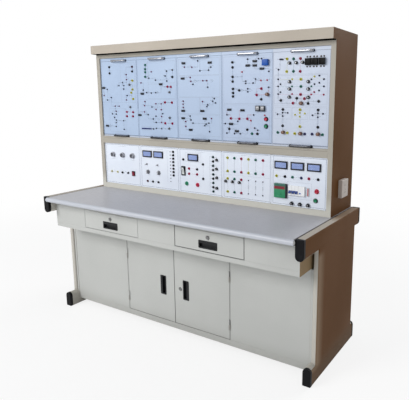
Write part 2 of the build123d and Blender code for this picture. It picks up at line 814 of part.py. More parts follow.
with BuildPart() as module_5_terminals:
    centre = module_centres[4]
    jacks(on_panel(centre, module_floor, [(-79, 450), (-42, 449), (-4, 449)]))
    jacks(on_panel(centre, module_floor, [(-80, 387), (-42, 387), (-4, 386)]))
    jacks(on_panel(centre, module_floor, [(1, 347), (2, 311), (1, 271), (23, 250), (-20, 252)]))
    jacks(on_panel(centre, module_floor, [(-112, 241), (-41, 227), (44, 226), (101, 237)]))
    jacks(on_panel(centre, module_floor, [(-99, 194), (0, 194), (100, 194)]))
    jacks(on_panel(centre, module_floor, [(-99, 109), (1, 108), (101, 108)]))
    jacks(on_panel(centre, module_floor, [(-128, 73), (-71, 73), (-28, 71), (29, 71), (70, 72), (127, 71)]))
    fuse_holders(on_panel(centre, module_floor, [(-64, 429), (-26, 429), (10, 430)]))
    fuse_holders(on_panel(centre, module_floor, [(-62, 335), (-62, 299), (-62, 258)]))
    fuse_holders(on_panel(centre, module_floor, [(43, 334), (44, 298), (45, 257)]))
    sink_places = [(42, 432), (78, 432), (116, 432)]
    housings(on_panel(centre, module_floor, sink_places), sink_side, sink_side, sink_depth)
    fin_pitch = sink_side / (sink_fins - 0.5)
    for x, height in sink_places:
        gaps = [(x + (place - (sink_fins - 2) / 2) * fin_pitch, height) for place in range(sink_fins - 1)]
        with on_panel(centre, module_floor, gaps, sink_base):
            Box(fin_pitch / 2, 2 * sink_side, sink_depth, align=standing, mode=Mode.SUBTRACT)
module_5_terminals.part.label = "module_5_terminals"
export_step(module_5_terminals.part, "parts/module_5_terminals.step")

# Fixed fittings of the power panels, in the same terms
motor_panel, supply_panel, output_panel, link_panel, mains_panel = module_centres
motor_rocker = ((98, 81), 25, 32)
range_rocker = ((-128, 134), 29, 57)
supply_toggles = {"left": (-105, 153), "right": (-14, 153)}
output_buttons = {"run": (-105, 57), "halt": (-22, 56)}
mains_buttons = {"stop": (105, 95), "start": (100, 46)}

with BuildPart() as panel_terminals:
    jacks(on_panel(motor_panel, power_floor, [(-105, 81), (-50, 81), (-5, 81), (49, 81)]))
    rocker_frames(on_panel(motor_panel, power_floor, motor_rocker[:1]), *motor_rocker[1:])
    jacks(on_panel(supply_panel, power_floor, [(-103, 43), (-58, 43), (-11, 43)]))
    jacks(on_panel(supply_panel, power_floor, [(117, 98 + 21 * row) for row in range(8)]))
    bushes = on_panel(supply_panel, power_floor, supply_toggles.values())
    posts(bushes, 12, toggle_bush_radius, toggle_bush_radius, toggle_bush_height)
    pocket_floor = toggle_bush_height - 2 * toggle_ball_radius - running_gap
    pockets = on_panel(supply_panel, power_floor, supply_toggles.values(), pocket_floor)
    bores(pockets, 12, toggle_pocket_radius, toggle_bush_height)
    jacks(on_panel(output_panel, power_floor, [(-128, 204), (-85, 151), (-85, 119), (-24, 151)]))
    jacks(on_panel(output_panel, power_floor, [(-24, 120), (21, 184), (21, 97)]))
    jacks(on_panel(output_panel, power_floor, [(95, 28 + 25.6 * row) for row in range(9)]))
    fuse_holders(on_panel(output_panel, power_floor, [(121, 217), (120, 164), (121, 112), (121, 50)]))
    rocker_frames(on_panel(output_panel, power_floor, range_rocker[:1]), *range_rocker[1:])
    button_rings(on_panel(output_panel, power_floor, output_buttons.values()))
    link_columns = [-127 + 46.8 * column for column in range(6)]
    for height, columns in ((236, 6), (159, 6), (116, 3), (39, 3)):
        jacks(on_panel(link_panel, power_floor, [(x, height) for x in link_columns[:columns]]))
    fuse_holders(on_panel(link_panel, power_floor, [(x - 13, 99) for x in link_columns[:3]]))
    jacks(on_panel(mains_panel, power_floor, [(x, 159) for x in (-132, -81, -36, 15, 59, 111)]))
    fuse_holders(on_panel(mains_panel, power_floor, [(-37, 17), (11, 17), (58, 17)]))
    housings(on_panel(mains_panel, power_floor, [(56, 87)]), 12, 46, 5)
    button_rings(on_panel(mains_panel, power_floor, mains_buttons.values()))
panel_terminals.part.label = "panel_terminals"
export_step(panel_terminals.part, "parts/panel_terminals.step")

# Digital meters: a bezel round a sunk window
meter_places = ((supply_panel, (-98, -5)), (output_panel, (-53,)), (mains_panel, (-105, -8, 87)))
meter_row = 220
window_depth = 2

with BuildPart() as panel_meters:
    for panel, places in meter_places:
        with on_panel(panel, power_floor, [(x, meter_row) for x in places]):
            Box(meter_width, meter_height, meter_proud, align=standing)
        with on_panel(panel, power_floor, [(x, meter_row) for x in places], meter_proud - window_depth):
            Box(
                meter_width - 2 * meter_bezel,
                meter_height - 2 * meter_bezel,
                meter_proud,
                align=standing,
                mode=Mode.SUBTRACT,
            )
panel_meters.part.label = "panel_meters"
export_step(panel_meters.part, "parts/panel_meters.step")

# Round metal sockets for the motor leads
with BuildPart() as motor_connectors:
    sockets = [(x, 198) for x in (-82, 6, 95)]
    seats = on_panel(motor_panel, power_floor, sockets)
    posts(seats, 16, connector_radius, connector_radius, connector_flange)
    posts(seats, 16, connector_barrel_radius, connector_barrel_radius, connector_proud)
    bores(
        on_panel(motor_panel, power_floor, sockets, connector_flange),
        16,
        connector_bore_radius,
        connector_proud,
    )
motor_connectors.part.label = "motor_connectors"
export_step(motor_connectors.part, "parts/motor_connectors.step")

# Mains breaker and its earth-leakage unit, side by side in the supply panel
breaker_place = (-26, 88)
lever_height = 83
hub_y = panel_face_y - breaker_proud + lever_mouth
hub_z = power_floor + lever_height

with BuildPart() as breaker_body:
    with on_panel(mains_panel, power_floor, [breaker_place]):
        Box(breaker_width, breaker_height, breaker_proud, align=standing)
    unit_x = breaker_place[0] + (breaker_width + leakage_unit_width) / 2 + seam
    with on_panel(mains_panel, power_floor, [(unit_x, breaker_place[1])]):
        Box(leakage_unit_width, breaker_height, breaker_proud, align=standing)
    chamfer(breaker_body.edges().filter_by(Axis.X).group_by(Axis.Y)[0], housing_bevel)
    hub_length = breaker_width - 2 * rocker_frame
    hub_room = lever_hub_radius + running_gap
    block(
        span(mains_panel + breaker_place[0], hub_length),
        (panel_face_y - 2 * breaker_proud, hub_y + hub_room),
        span(hub_z, 2 * hub_room),
        mode=Mode.SUBTRACT,
    )
breaker_body.part.label = "breaker_body"
export_step(breaker_body.part, "parts/breaker_body.step")

with BuildPart() as breaker_lever:
    hub_end = mains_panel + breaker_place[0] - hub_length / 2 + running_gap
    hub_length_free = hub_length - 2 * running_gap
    hub_start = Plane((hub_end, hub_y, hub_z), x_dir=(0, 1, 0), z_dir=(1, 0, 0)).location
    posts(Locations(hub_start), 12, lever_hub_radius, lever_hub_radius, hub_length_free)
    with Locations(Location((mains_panel + breaker_place[0], hub_y, hub_z), (lever_tilt, 0, 0))):
        with GridLocations(lever_pitch, 0, 3, 1):
            Box(
                lever_width,
                lever_hub_radius + lever_length,
                lever_thickness,
                align=(Align.CENTER, Align.MAX, Align.CENTER),
            )
breaker_lever.part.label = "breaker_lever"
export_step(breaker_lever.part, "parts/breaker_lever.step")

# Phase-protection relay: a flat-fronted case with a raised adjuster and its window
with BuildPart() as protection_relay:
    relay_place = (-103.5, 81)
    with on_panel(mains_panel, power_floor, [relay_place]):
        Box(relay_width, relay_height, relay_proud, align=standing)
    chamfer(protection_relay.faces().sort_by(Axis.Y)[0].edges(), housing_bevel)
    adjuster = on_panel(mains_panel, power_floor, [(relay_place[0], relay_place[1] - 14)], relay_proud)
    posts(adjuster, 16, relay_knob_radius, relay_knob_radius - relay_knob_proud / 2, relay_knob_proud)
protection_relay.part.label = "protection_relay"
export_step(protection_relay.part, "parts/protection_relay.step")

# Socket outlet box on the console's right side
with BuildPart() as side_socket_box:
    box_y = (console_front_y + socket_box_setback, console_front_y + socket_box_setback + socket_box_width)
    box_z = (desk_height + socket_box_floor, desk_height + socket_box_floor + socket_box_height)
    block((console_x, console_x + socket_box_depth), box_y, box_z)
    chamfer(side_socket_box.faces().sort_by(Axis.X)[-1].edges(), housing_bevel)
side_socket_box.part.label = "side_socket_box"
export_step(side_socket_box.part, "parts/side_socket_box.step")


# Turned knobs of modules 4 and 5, just clear of the panel
knob_places = {
    "setpoint_knob": (module_centres[3], (132, 272)),
    "load_knob_1": (module_centres[4], (6, 227)),
    "load_knob_2": (module_centres[4], (-94, 75)),
    "load_knob_3": (module_centres[4], (6, 72)),
    "load_knob_4": (module_centres[4], (104, 73)),
}

for name, (centre, place) in knob_places.items():
    with BuildPart() as knob:
        knob_foot = on_panel(centre, module_floor, [place], running_gap)
        posts(knob_foot, 12, knob_radius, knob_tip_radius, knob_height)
    knob.part.label = name
    export_step(knob.part, f"parts/{name}.step")

# Push buttons, each guided by its ring and held off the panel by its travel
button_places = (
    (module_centres[3], module_floor, "module_4", module_4_buttons),
    (output_panel, power_floor, "output", output_buttons),
    (mains_panel, power_floor, "mains", mains_buttons),
)

for panel, floor, group, buttons in button_places:
    for action, place in buttons.items():
        with BuildPart() as button:
            rest = on_panel(panel, floor, [place], button_travel + running_gap)
            posts(rest, 16, button_radius, button_radius - button_taper, button_length)
        button.part.label = f"{group}_{action}_button"
        export_step(button.part, f"parts/{group}_{action}_button.step")

# Pointer knobs of the two adjustable supplies: a skirt with a bar grip across it
for hand, place in (("left", (-97, 104)), ("right", (-6, 104))):
    with BuildPart() as supply_knob:
        seat = on_panel(supply_panel, power_floor, [place], running_gap)
        posts(seat, 20, pointer_skirt_radius, pointer_grip_radius, pointer_skirt_height)
        with seat:
            Box(pointer_width, 2 * pointer_grip_radius, pointer_knob_height, align=standing)
    supply_knob.part.label = f"{hand}_supply_knob"
    export_step(supply_knob.part, f"parts/{hand}_supply_knob.step")

# Toggle levers of the two supplies, each on a round heel inside its bush and tipped down
for hand, place in supply_toggles.items():
    with BuildPart() as supply_toggle:
        pivot_y = panel_face_y - toggle_bush_height + toggle_ball_radius
        pivot = (supply_panel + place[0], pivot_y, power_floor + place[1])
        ball_end = Location((pivot[0] - toggle_neck_radius, pivot[1], pivot[2]), (0, 90, 0))
        posts(Locations(ball_end), 12, toggle_ball_radius, toggle_ball_radius, 2 * toggle_neck_radius)
        lever_root = Location(pivot, (90 + toggle_tilt, 0, 0))
        posts(Locations(lever_root), 10, toggle_neck_radius, toggle_tip_radius, toggle_length)
    supply_toggle.part.label = f"{hand}_supply_toggle"
    export_step(supply_toggle.part, f"parts/{hand}_supply_toggle.step")

# Rockers: two shallow ramps meeting at a valley, tipped so that the upper end stands out
for name, panel, (place, width, height) in (
    ("motor_panel_rocker", motor_panel, motor_rocker),
    ("range_rocker", output_panel, range_rocker),
):
    tilt = radians(rocker_tilt)
    reach = (height / 2 - rocker_frame - running_gap - rocker_proud * sin(tilt)) / cos(tilt)
    pivot = (panel + place[0], panel_face_y - rocker_pivot, power_floor + place[1])
    with BuildPart() as rocker:
        with BuildSketch(Plane(pivot, x_dir=(0, cos(tilt), sin(tilt)), z_dir=(1, 0, 0))):
            Polygon(
                (-rocker_proud, -reach),
                (rocker_valley - rocker_proud, 0),
                (-rocker_proud, reach),
                (-rocker_proud / 2, reach),
                (0, rocker_heel),
                (0, -rocker_heel),
                (-rocker_proud / 2, -reach),
                align=None,
            )
        extrude(amount=width / 2 - rocker_frame - running_gap, both=True)
    rocker.part.label = name
    export_step(rocker.part, f"parts/{name}.step")
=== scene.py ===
import json
import math
import random

import bmesh
import bpy
from mathutils import Matrix, Vector


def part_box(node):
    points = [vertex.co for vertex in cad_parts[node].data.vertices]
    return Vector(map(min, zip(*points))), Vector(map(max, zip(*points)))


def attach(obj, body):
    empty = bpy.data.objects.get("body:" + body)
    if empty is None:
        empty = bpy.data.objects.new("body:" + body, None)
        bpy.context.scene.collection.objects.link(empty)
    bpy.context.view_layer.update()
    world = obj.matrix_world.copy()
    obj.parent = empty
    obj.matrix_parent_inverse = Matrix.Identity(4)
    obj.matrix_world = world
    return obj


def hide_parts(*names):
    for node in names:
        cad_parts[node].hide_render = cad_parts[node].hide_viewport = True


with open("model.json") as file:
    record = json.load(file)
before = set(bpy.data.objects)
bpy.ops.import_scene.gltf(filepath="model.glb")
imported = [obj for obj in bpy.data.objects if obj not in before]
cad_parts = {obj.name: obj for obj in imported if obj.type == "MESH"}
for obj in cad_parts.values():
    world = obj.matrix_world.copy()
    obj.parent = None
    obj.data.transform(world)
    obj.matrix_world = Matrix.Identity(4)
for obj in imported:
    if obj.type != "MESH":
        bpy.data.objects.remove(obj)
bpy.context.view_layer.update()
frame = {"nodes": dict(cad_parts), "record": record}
packed = frame["nodes"]


# Camera: eye height of a standing adult, in front of the bench and to its right.
# The lens is a little longer than normal, turned down slightly and shifted to frame the whole bench.
scene = bpy.context.scene
scene.view_settings.view_transform = "Standard"
eye = bpy.data.objects.new("eye", bpy.data.cameras.new("eye"))
eye.location = (1.7062, -2.16265, 1.37634)
eye.rotation_euler = (math.radians(90) - 0.18868, 0.0, 0.5515)
eye.data.sensor_width = 36.0
eye.data.lens = 41.70
eye.data.shift_x = -0.1029
eye.data.shift_y = -0.03116
eye.data.clip_end = 60.0
scene.collection.objects.link(eye)
scene.camera = eye


# End frames: a beam, a column and a foot of welded steel tube on each side.
# Powder coated stone grey, with the outward faces sprayed brown; the caps are black moulded plastic.
def tone(red, green, blue):
    """A colour as a paint card gives it, turned into the light values that a shader works in."""
    parts = (value / 255 for value in (red, green, blue))
    return (*(p / 12.92 if p <= 0.04045 else ((p + 0.055) / 1.055) ** 2.4 for p in parts), 1.0)


def darker(colour, share):
    """A colour with that share of its light."""
    return (*(part * share for part in colour[:3]), 1.0)


class Wire:
    """One socket of a node tree, so that sums and products of sockets read as plain arithmetic."""

    def __init__(self, tree, socket):
        self.tree = tree
        self.socket = socket

    def node(self, kind, settings, values, output=0):
        """Adds a node: its settings first, then a value or a wire for each of its sockets."""
        made = self.tree.nodes.new(kind)
        for name, value in settings.items():
            setattr(made, name, value)
        for name, value in values.items():
            if isinstance(value, Wire):
                self.tree.links.new(value.socket, made.inputs[name])
            else:
                made.inputs[name].default_value = value
        return Wire(self.tree, made.outputs[output])

    def maths(self, operation, *others):
        return self.node("ShaderNodeMath", {"operation": operation}, dict(enumerate((self, *others))))

    def __add__(self, other):
        return self.maths("ADD", other)

    def __sub__(self, other):
        return self.maths("SUBTRACT", other)

    def __rsub__(self, other):
        return self.node("ShaderNodeMath", {"operation": "SUBTRACT"}, {0: other, 1: self})

    def __mul__(self, other):
        return self.maths("MULTIPLY", other)

    __radd__ = __add__
    __rmul__ = __mul__

    def __gt__(self, other):
        return self.maths("GREATER_THAN", other)

    def __lt__(self, other):
        return self.maths("LESS_THAN", other)

    def __abs__(self):
        return self.maths("ABSOLUTE")

    def rise(self, low, high):
        """0 below low, 1 above high, and a smooth ramp between."""
        limits = {0: self, 1: low, 2: high, 3: 0.0, 4: 1.0}
        return self.node("ShaderNodeMapRange", {"interpolation_type": "SMOOTHSTEP"}, limits)

    def blend(self, first, second):
        """first where this wire is 0, second where it is 1."""
        return self.node("ShaderNodeMix", {"data_type": "RGBA"}, {0: self, 6: first, 7: second}, 2)

    def axes(self):
        """The three parts of these coordinates."""
        split = self.node("ShaderNodeSeparateXYZ", {}, {0: self}).socket.node
        return [Wire(self.tree, output) for output in split.outputs]

    def noise(self, scale, detail, rough=0.5):
        values = {"Vector": self, "Scale": scale, "Detail": detail, "Roughness": rough}
        return self.node("ShaderNodeTexNoise", {}, values)

    def stretched(self, x, y, z):
        """These coordinates with each axis scaled by its own factor."""
        return self.node("ShaderNodeVectorMath", {"operation": "MULTIPLY"}, {0: self, 1: (x, y, z)})

    def attribute(self, name, output=0):
        return self.node("ShaderNodeAttribute", {"attribute_name": name}, {}, output)

    def bump(self, distance, strength=0.3):
        return self.node("ShaderNodeBump", {}, {"Height": self, "Distance": distance, "Strength": strength})


def finish(name, **constants):
    """A new material with its shader's fixed values, and a wire of the piece's own coordinates."""
    material = bpy.data.materials.new(name)
    material.use_nodes = True
    tree = material.node_tree
    for socket, value in constants.items():
        tree.nodes["Principled BSDF"].inputs[socket.replace("_", " ")].default_value = value
    return material, Wire(tree, tree.nodes.new("ShaderNodeTexCoord").outputs["Object"])


def feed(material, **wires):
    """Plugs wires into a material's shader sockets."""
    tree = material.node_tree
    for socket, wire in wires.items():
        tree.links.new(wire.socket, tree.nodes["Principled BSDF"].inputs[socket.replace("_", " ")])
    return material


def powder_coat(name, face, drift, end_face=None, end_x=None, floor_dust=0.0, dark_from=None, seam_shade_lines=(), lit_front_y=None,
                wiped=None):
    """Baked powder paint with fine orange peel: brown beyond end_x, paler near a given column front as a painted
    highlight, paler low down as painted bounce light, black from (y, z) up to z and x as painted shade, and with a
    painted shade line round each loose front, given as (low corner, high corner, strength)."""
    material, place = finish(name, Specular_IOR_Level=0.05)
    x, y, z = place.axes()
    slow = place.noise(2.2, 3.0).rise(0.3, 0.7)
    fleck = place.noise(1400.0, 1.0).rise(0.45, 0.75)
    colour = (fleck * 0.10).blend(slow.blend(face, drift), tone(120, 116, 106))
    if end_face:
        outside = abs(x).rise(end_x - 0.0004, end_x + 0.0004)
        brown = (fleck * 0.06).blend(slow.blend(end_face, darker(end_face, 0.88)), tone(112, 84, 60))
        colour = outside.blend(colour, brown)
    # Painted highlight: the columns' brown outer faces are paler near their front edge, as if lit by reflected light.
    if lit_front_y:
        column = z.rise(0.05, 0.09) * (1.0 - z.rise(0.63, 0.67)) * outside
        colour = ((1.0 - y.rise(lit_front_y, lit_front_y + 0.09)) * column * 0.55).blend(colour, tone(160, 140, 118))
        # The beam's top face is tinted brown, more towards the back.
        beam_top = (z > 0.7645) * (y.rise(0.0, 0.12) * 0.55 + 0.25)
        colour = beam_top.blend(colour, tone(126, 98, 70))
    # Painted bounce light: paler below about 0.8 m, as light thrown up from the desk.
    if wiped:
        colour = (1.0 - z.rise(0.79, 0.88)).blend(colour, wiped)
    # Painted shade: near-black in the given box, where the gap under the header hood lies in shadow.
    if dark_from:
        gap_shade = (y > dark_from[0]) * (z > dark_from[1]) * (z < dark_from[2])
        colour = (gap_shade * (abs(x) < dark_from[3])).blend(colour, tone(16, 15, 15))
    # Painted shade: a dark line round each loose front, where the gap round it lies in shadow.
    for low, high, strength in seam_shade_lines:
        across = abs(x - (low.x + high.x) / 2) - (high.x - low.x) / 2
        along = abs(z - (low.z + high.z) / 2) - (high.z - low.z) / 2
        rim = across.maths("MAXIMUM", along)
        line = rim.rise(-0.0030, -0.0014) * (1.0 - rim.rise(0.0014, 0.0030)) * (y < low.y + 0.03)
        colour = (line * strength).blend(colour, tone(84, 85, 84))
    scuffs = place.stretched(1.0, 1.0, 0.35).noise(38.0, 6.0, 0.7).rise(0.66, 0.74)
    dust = (1.0 - z.rise(0.02, 0.14)) * floor_dust
    peel = place.noise(520.0, 2.0) + fleck * 0.15
    return feed(
        material,
        Base_Color=(dust + scuffs * 0.05).blend(colour, tone(112, 106, 96)),
        Roughness=0.50 + slow * 0.07 + scuffs * 0.12 + dust * 0.3,
        Normal=peel.bump(0.00012, 0.5),
    )


def body_of(node):
    """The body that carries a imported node."""
    return next(body for body, names in frame["record"]["behaviour"]["bodies"].items() if node in names)


def slot_of(node):
    """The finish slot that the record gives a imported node."""
    return next(part["material_slot"] for part in frame["record"]["subparts"] if part["node"] == node)


def keep(name, mesh, body, slot, stands_for=()):
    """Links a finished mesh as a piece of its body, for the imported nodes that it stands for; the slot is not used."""
    piece = bpy.data.objects.new(name, mesh)
    scene.collection.objects.link(piece)
    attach(piece, body)
    if stands_for:
        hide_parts(*stands_for)
    return piece


def crisp(mesh):
    """Shades a mesh smooth, with its real corners kept sharp."""
    mesh.polygons.foreach_set("use_smooth", [True] * len(mesh.polygons))
    mesh.set_sharp_from_angle(angle=math.radians(32))
    mesh.update()
    return mesh


def eased(node, material, radius, steps=2):
    """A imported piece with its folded, cut or moulded edges rounded to a radius in millimetres."""
    mesh = packed[node].data.copy()
    shape = bmesh.new()
    shape.from_mesh(mesh)
    bmesh.ops.remove_doubles(shape, verts=shape.verts, dist=2e-6)
    bmesh.ops.dissolve_limit(shape, angle_limit=0.004, verts=shape.verts, edges=shape.edges)
    shape.to_mesh(mesh)
    shape.free()
    mesh.materials.clear()
    mesh.materials.append(material)
    piece = keep(node + "_eased", crisp(mesh), body_of(node), slot_of(node), [node])
    edges = piece.modifiers.new("edges", "BEVEL")
    edges.width, edges.segments = radius / 1000, steps
    edges.limit_method, edges.angle_limit = "ANGLE", math.radians(32)
    edges.harden_normals = True


end_brown, outer_face_x, column_front_y = tone(94, 61, 30), 0.8845, -0.19
# The columns' outer faces are painted paler near their front edge, as a painted highlight of reflected light.
frame_paint = powder_coat("frame_paint", tone(190, 187, 179), tone(183, 179, 171), end_brown, outer_face_x,
                          floor_dust=0.35, lit_front_y=column_front_y)
eased("side_frames", frame_paint, 0.8)

cap_plastic, place = finish("cap_plastic", Specular_IOR_Level=0.12)
grain = place.noise(900.0, 3.0)
rub = place.noise(24.0, 5.0, 0.7).rise(0.58, 0.72)
feed(
    cap_plastic,
    Base_Color=(rub * 0.35).blend(tone(10, 10, 13), tone(34, 34, 38)),
    Roughness=0.42 + grain * 0.16 + rub * 0.14,
    Normal=grain.bump(0.00015, 0.6),
)
eased("end_caps", cap_plastic, 1.1, 3)


# Desk board: chipboard under grey laminate, its end edges darker, with a half-round strip along the front.
# The strip is pale moulded plastic, closed at each end by a small white plug.
laminate, place = finish("desk_laminate", Specular_IOR_Level=0.4)
x, y, z = place.axes()
end_x, strip_back_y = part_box("desk_top")[1].x, -0.3679
speck = place.noise(1100.0, 2.0, 0.6)
cloud = place.noise(1.6, 3.0).rise(0.3, 0.7)
board = cloud.blend(tone(174, 174, 179), tone(181, 180, 184))
board = (speck.rise(0.56, 0.66) * 0.30).blend(board, tone(116, 118, 128))
board = ((1.0 - speck).rise(0.58, 0.68) * 0.30).blend(board, tone(202, 203, 208))
board = abs(x).rise(end_x - 0.0060, end_x - 0.0045).blend(board, tone(66, 60, 58))
in_strip = 1.0 - y.rise(strip_back_y - 0.0002, strip_back_y + 0.0002)
wiping = place.stretched(0.25, 1.0, 1.0).noise(90.0, 4.0, 0.65)
feed(
    laminate,
    Base_Color=in_strip.blend(board, cloud.blend(tone(185, 188, 196), tone(178, 182, 190))),
    Roughness=0.36 + wiping.rise(0.4, 0.7) * 0.12 - in_strip * 0.04,
    Normal=(speck + wiping * 0.3).bump(0.00006, 0.35),
)
eased("desk_top", laminate, 0.4)


# Strip end plugs: small white moulded discs pressed into the open ends of the front strip.
# Like all turned fittings they are made from their outline, (radius, height) pairs in millimetres.
def turned(outline, sides, metal_from=99, metal_to=99, open_middle=False):
    """A shape turned about an axis that points at the user, with the outline's metal stretch marked."""
    shape = bmesh.new()
    metal = shape.verts.layers.float.new("metal")
    rings = []
    for index, (radius, height) in enumerate(outline):
        ring = []
        for step in range(sides if radius > 0 else 1):
            angle = math.tau * step / sides
            spot = Vector((radius * math.cos(angle), -height, radius * math.sin(angle)))
            ring.append(shape.verts.new(spot / 1000))
            ring[-1][metal] = float(metal_from <= index <= metal_to)
        rings.append(ring)
    for lower, upper in zip(rings, rings[1:] + rings[:open_middle]):
        for step in range(sides):
            after = (step + 1) % sides
            if len(upper) == 1:
                shape.faces.new((lower[step], lower[after], upper[0]))
            elif len(lower) == 1:
                shape.faces.new((lower[0], upper[after], upper[step]))
            else:
                shape.faces.new((lower[step], lower[after], upper[after], upper[step]))
    if len(rings[0]) > 1 and not open_middle:
        shape.faces.new(rings[0][::-1])
    bmesh.ops.recalc_face_normals(shape, faces=shape.faces)
    return shape


def slab(shape, low, high, bevel=0.0, metal=0.0, turn=0.0):
    """Adds a box between two corners in millimetres, bevelled, and turned about the axis facing the user."""
    layer = shape.verts.layers.float.get("metal") or shape.verts.layers.float.new("metal")
    before = set(shape.verts)
    made = bmesh.ops.create_cube(shape, size=1.0)["verts"]
    for vertex in made:
        vertex.co = Vector((a + b) / 2 + part * (b - a) for a, b, part in zip(low, high, vertex.co)) / 1000
    if bevel:
        edges = list({edge for vertex in made for edge in vertex.link_edges})
        bmesh.ops.bevel(shape, geom=edges, offset=bevel / 1000, segments=2, affect="EDGES", profile=0.6)
    for vertex in set(shape.verts) - before:
        vertex[layer] = metal
        vertex.co = Matrix.Rotation(turn, 3, "Y") @ vertex.co
    return shape


def as_mesh(name, shape, *materials):
    """Turns an edited shape into a shaded mesh."""
    mesh = bpy.data.meshes.new(name)
    shape.to_mesh(mesh)
    shape.free()
    for material in materials:
        mesh.materials.append(material)
    return crisp(mesh)


def moulded(name, gloss, metal_tone=(176, 170, 158)):
    """Moulded plastic in each fitting's own colour, with the marked stretch left as plated metal."""
    material, place = finish(name, Specular_IOR_Level=0.2)
    metal = place.attribute("metal", 2)
    cloudy = place.noise(260.0, 2.0)
    base = (cloudy * 0.05).blend(place.attribute("tint"), tone(70, 70, 74))
    return feed(
        material,
        Base_Color=metal.blend(base, tone(*metal_tone)),
        Metallic=metal,
        Roughness=gloss + cloudy * 0.12,
        Normal=cloudy.bump(0.00005, 0.4),
    )


def stand_tree():
    """Node tree: one fitting on each place, turned and sized by the place's own values."""
    tree = bpy.data.node_groups.new("fitting_on_each_place", "GeometryNodeTree")
    kinds = {"Places": "Geometry", "Fitting": "Object", "Finish": "Material", "Largest Size": "Float"}
    for label, kind in kinds.items():
        tree.interface.new_socket(label, in_out="INPUT", socket_type="NodeSocket" + kind)
    tree.interface.new_socket("Fitted", in_out="OUTPUT", socket_type="NodeSocketGeometry")
    inputs = tree.nodes.new("NodeGroupInput").outputs
    places, fitting, paint, largest = (Wire(tree, inputs[label]) for label in kinds)
    pattern = places.node("GeometryNodeObjectInfo", {}, {"Object": fitting}, "Geometry")
    turn, size = (
        places.node("GeometryNodeInputNamedAttribute", {"data_type": "FLOAT"}, {"Name": label}, "Attribute")
        for label in ("turn", "size")
    )
    facing = turn.node("FunctionNodeAxisAngleToRotation", {}, {"Axis": (0.0, 1.0, 0.0), "Angle": turn})
    values = {"Points": places, "Instance": pattern, "Rotation": facing, "Scale": size.maths("MINIMUM", largest)}
    real = places.node("GeometryNodeRealizeInstances", {}, {0: places.node("GeometryNodeInstanceOnPoints", {}, values)})
    painted = real.node("GeometryNodeSetMaterial", {}, {"Geometry": real, "Material": paint})
    tree.links.new(painted.socket, tree.nodes.new("NodeGroupOutput").inputs["Fitted"])
    return tree, {item.name: item.identifier for item in tree.interface.items_tree if item.in_out == "INPUT"}


fitting_tree, fitting_inputs = stand_tree()


def stand(name, shape, places, material, stands_for=(), body="desk_and_console", slot="terminal_plastic"):
    """Stands a fitting on every place, given as (x, y, z, tint, turn, size), as one piece of that body."""
    pattern = bpy.data.objects.new(name + "_pattern", as_mesh(name + "_pattern", shape))
    points = bpy.data.meshes.new(name + "_places")
    points.from_pydata([place[:3] for place in places], [], [])
    for label, kind in (("tint", "FLOAT_COLOR"), ("turn", "FLOAT"), ("size", "FLOAT")):
        points.attributes.new(label, kind, "POINT")
    points.attributes["tint"].data.foreach_set("color", [part for place in places for part in place[3]])
    points.attributes["turn"].data.foreach_set("value", [place[4] for place in places])
    points.attributes["size"].data.foreach_set("value", [place[5] for place in places])
    carrier = bpy.data.objects.new(name + "_carrier", points)
    for helper in (pattern, carrier):
        scene.collection.objects.link(helper)
    fit = carrier.modifiers.new("fit", "NODES")
    fit.node_group = fitting_tree
    for label, value in (("Fitting", pattern), ("Finish", material), ("Largest Size", 4.0)):
        fit[fitting_inputs[label]] = value
    mesh = bpy.data.meshes.new_from_object(carrier.evaluated_get(bpy.context.evaluated_depsgraph_get()))
    mesh.name = name
    for helper in (carrier, pattern):
        bpy.data.objects.remove(helper)
    return keep(name, mesh, body, slot, stands_for)


white = tone(226, 226, 222)
plug = turned([(0, 0), (9.5, 0), (9.5, 0.2), (8.5, 0.6), (0, 0.6)], 20)
bmesh.ops.rotate(plug, verts=plug.verts, matrix=Matrix.Rotation(math.radians(90), 3, "Z"))
strip_y, strip_z = -0.3695, 0.751
strip_ends = [(x, strip_y, strip_z, white, turn, 1.0) for x, turn in ((end_x, 0.0), (-end_x, math.pi))]
stand("strip_end_plugs", plug, strip_ends, moulded("plug_plastic", 0.45), slot="white_enamel")


# Drawer housing, cabinet, drawers and doors: thin sheet steel folded, spot welded and sprayed white.
# Drawers and doors are double-skinned, so every edge of theirs is a rounded fold. Painted shade lies along their seams.
enamel, enamel_drift = tone(187, 188, 185), tone(181, 182, 179)
# The cabinet's outer ends are painted tan: painted shade with the brown end frames' reflection in it.
end_shade_tan, cabinet_side_x, gap_over_drawer = tone(150, 128, 98), 0.8464, Vector((0.0, 0.0, 0.030))
seam_shade_lines = []
# Painted shade lines round the loose fronts, each with its own strength; a drawer's top line is raised under the strip.
for node, strength in (("left_drawer", 0.2), ("right_drawer", 0.95), ("left_door", 0.55), ("right_door", 0.55)):
    low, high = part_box(node)
    seam_shade_lines.append((low, high + gap_over_drawer * node.endswith("drawer"), strength))
cabinet_paint = powder_coat("cabinet_paint", enamel, enamel_drift, end_shade_tan, cabinet_side_x, floor_dust=0.25,
                            seam_shade_lines=seam_shade_lines)
for node in ("drawer_housing", "cabinet_shell"):
    eased(node, cabinet_paint, 0.5)
for node in ("left_drawer", "left_door", "right_drawer", "right_door"):
    eased(node, cabinet_paint, 1.0, 3)


# Closing strips: a strip of folded sheet closes the slot between the cabinet and each end frame.
# Each is sprayed white like the cabinet and screwed to it from inside.
strip = slab(bmesh.new(), (-6.5, -4.0, -266.0), (6.5, 0.0, 266.0), 1.2)
slab(strip, (-6.5, -1.0, -265.0), (-5.6, 30.0, 265.0), 0.2)
slot_x, slot_y, slot_z = 0.854, -0.1730, 0.3035
stand("closing_strips", strip, [(x, slot_y, slot_z, enamel, 0.0, 1.0) for x in (-slot_x, slot_x)],
      powder_coat("strip_paint", enamel, enamel_drift), slot="white_enamel")


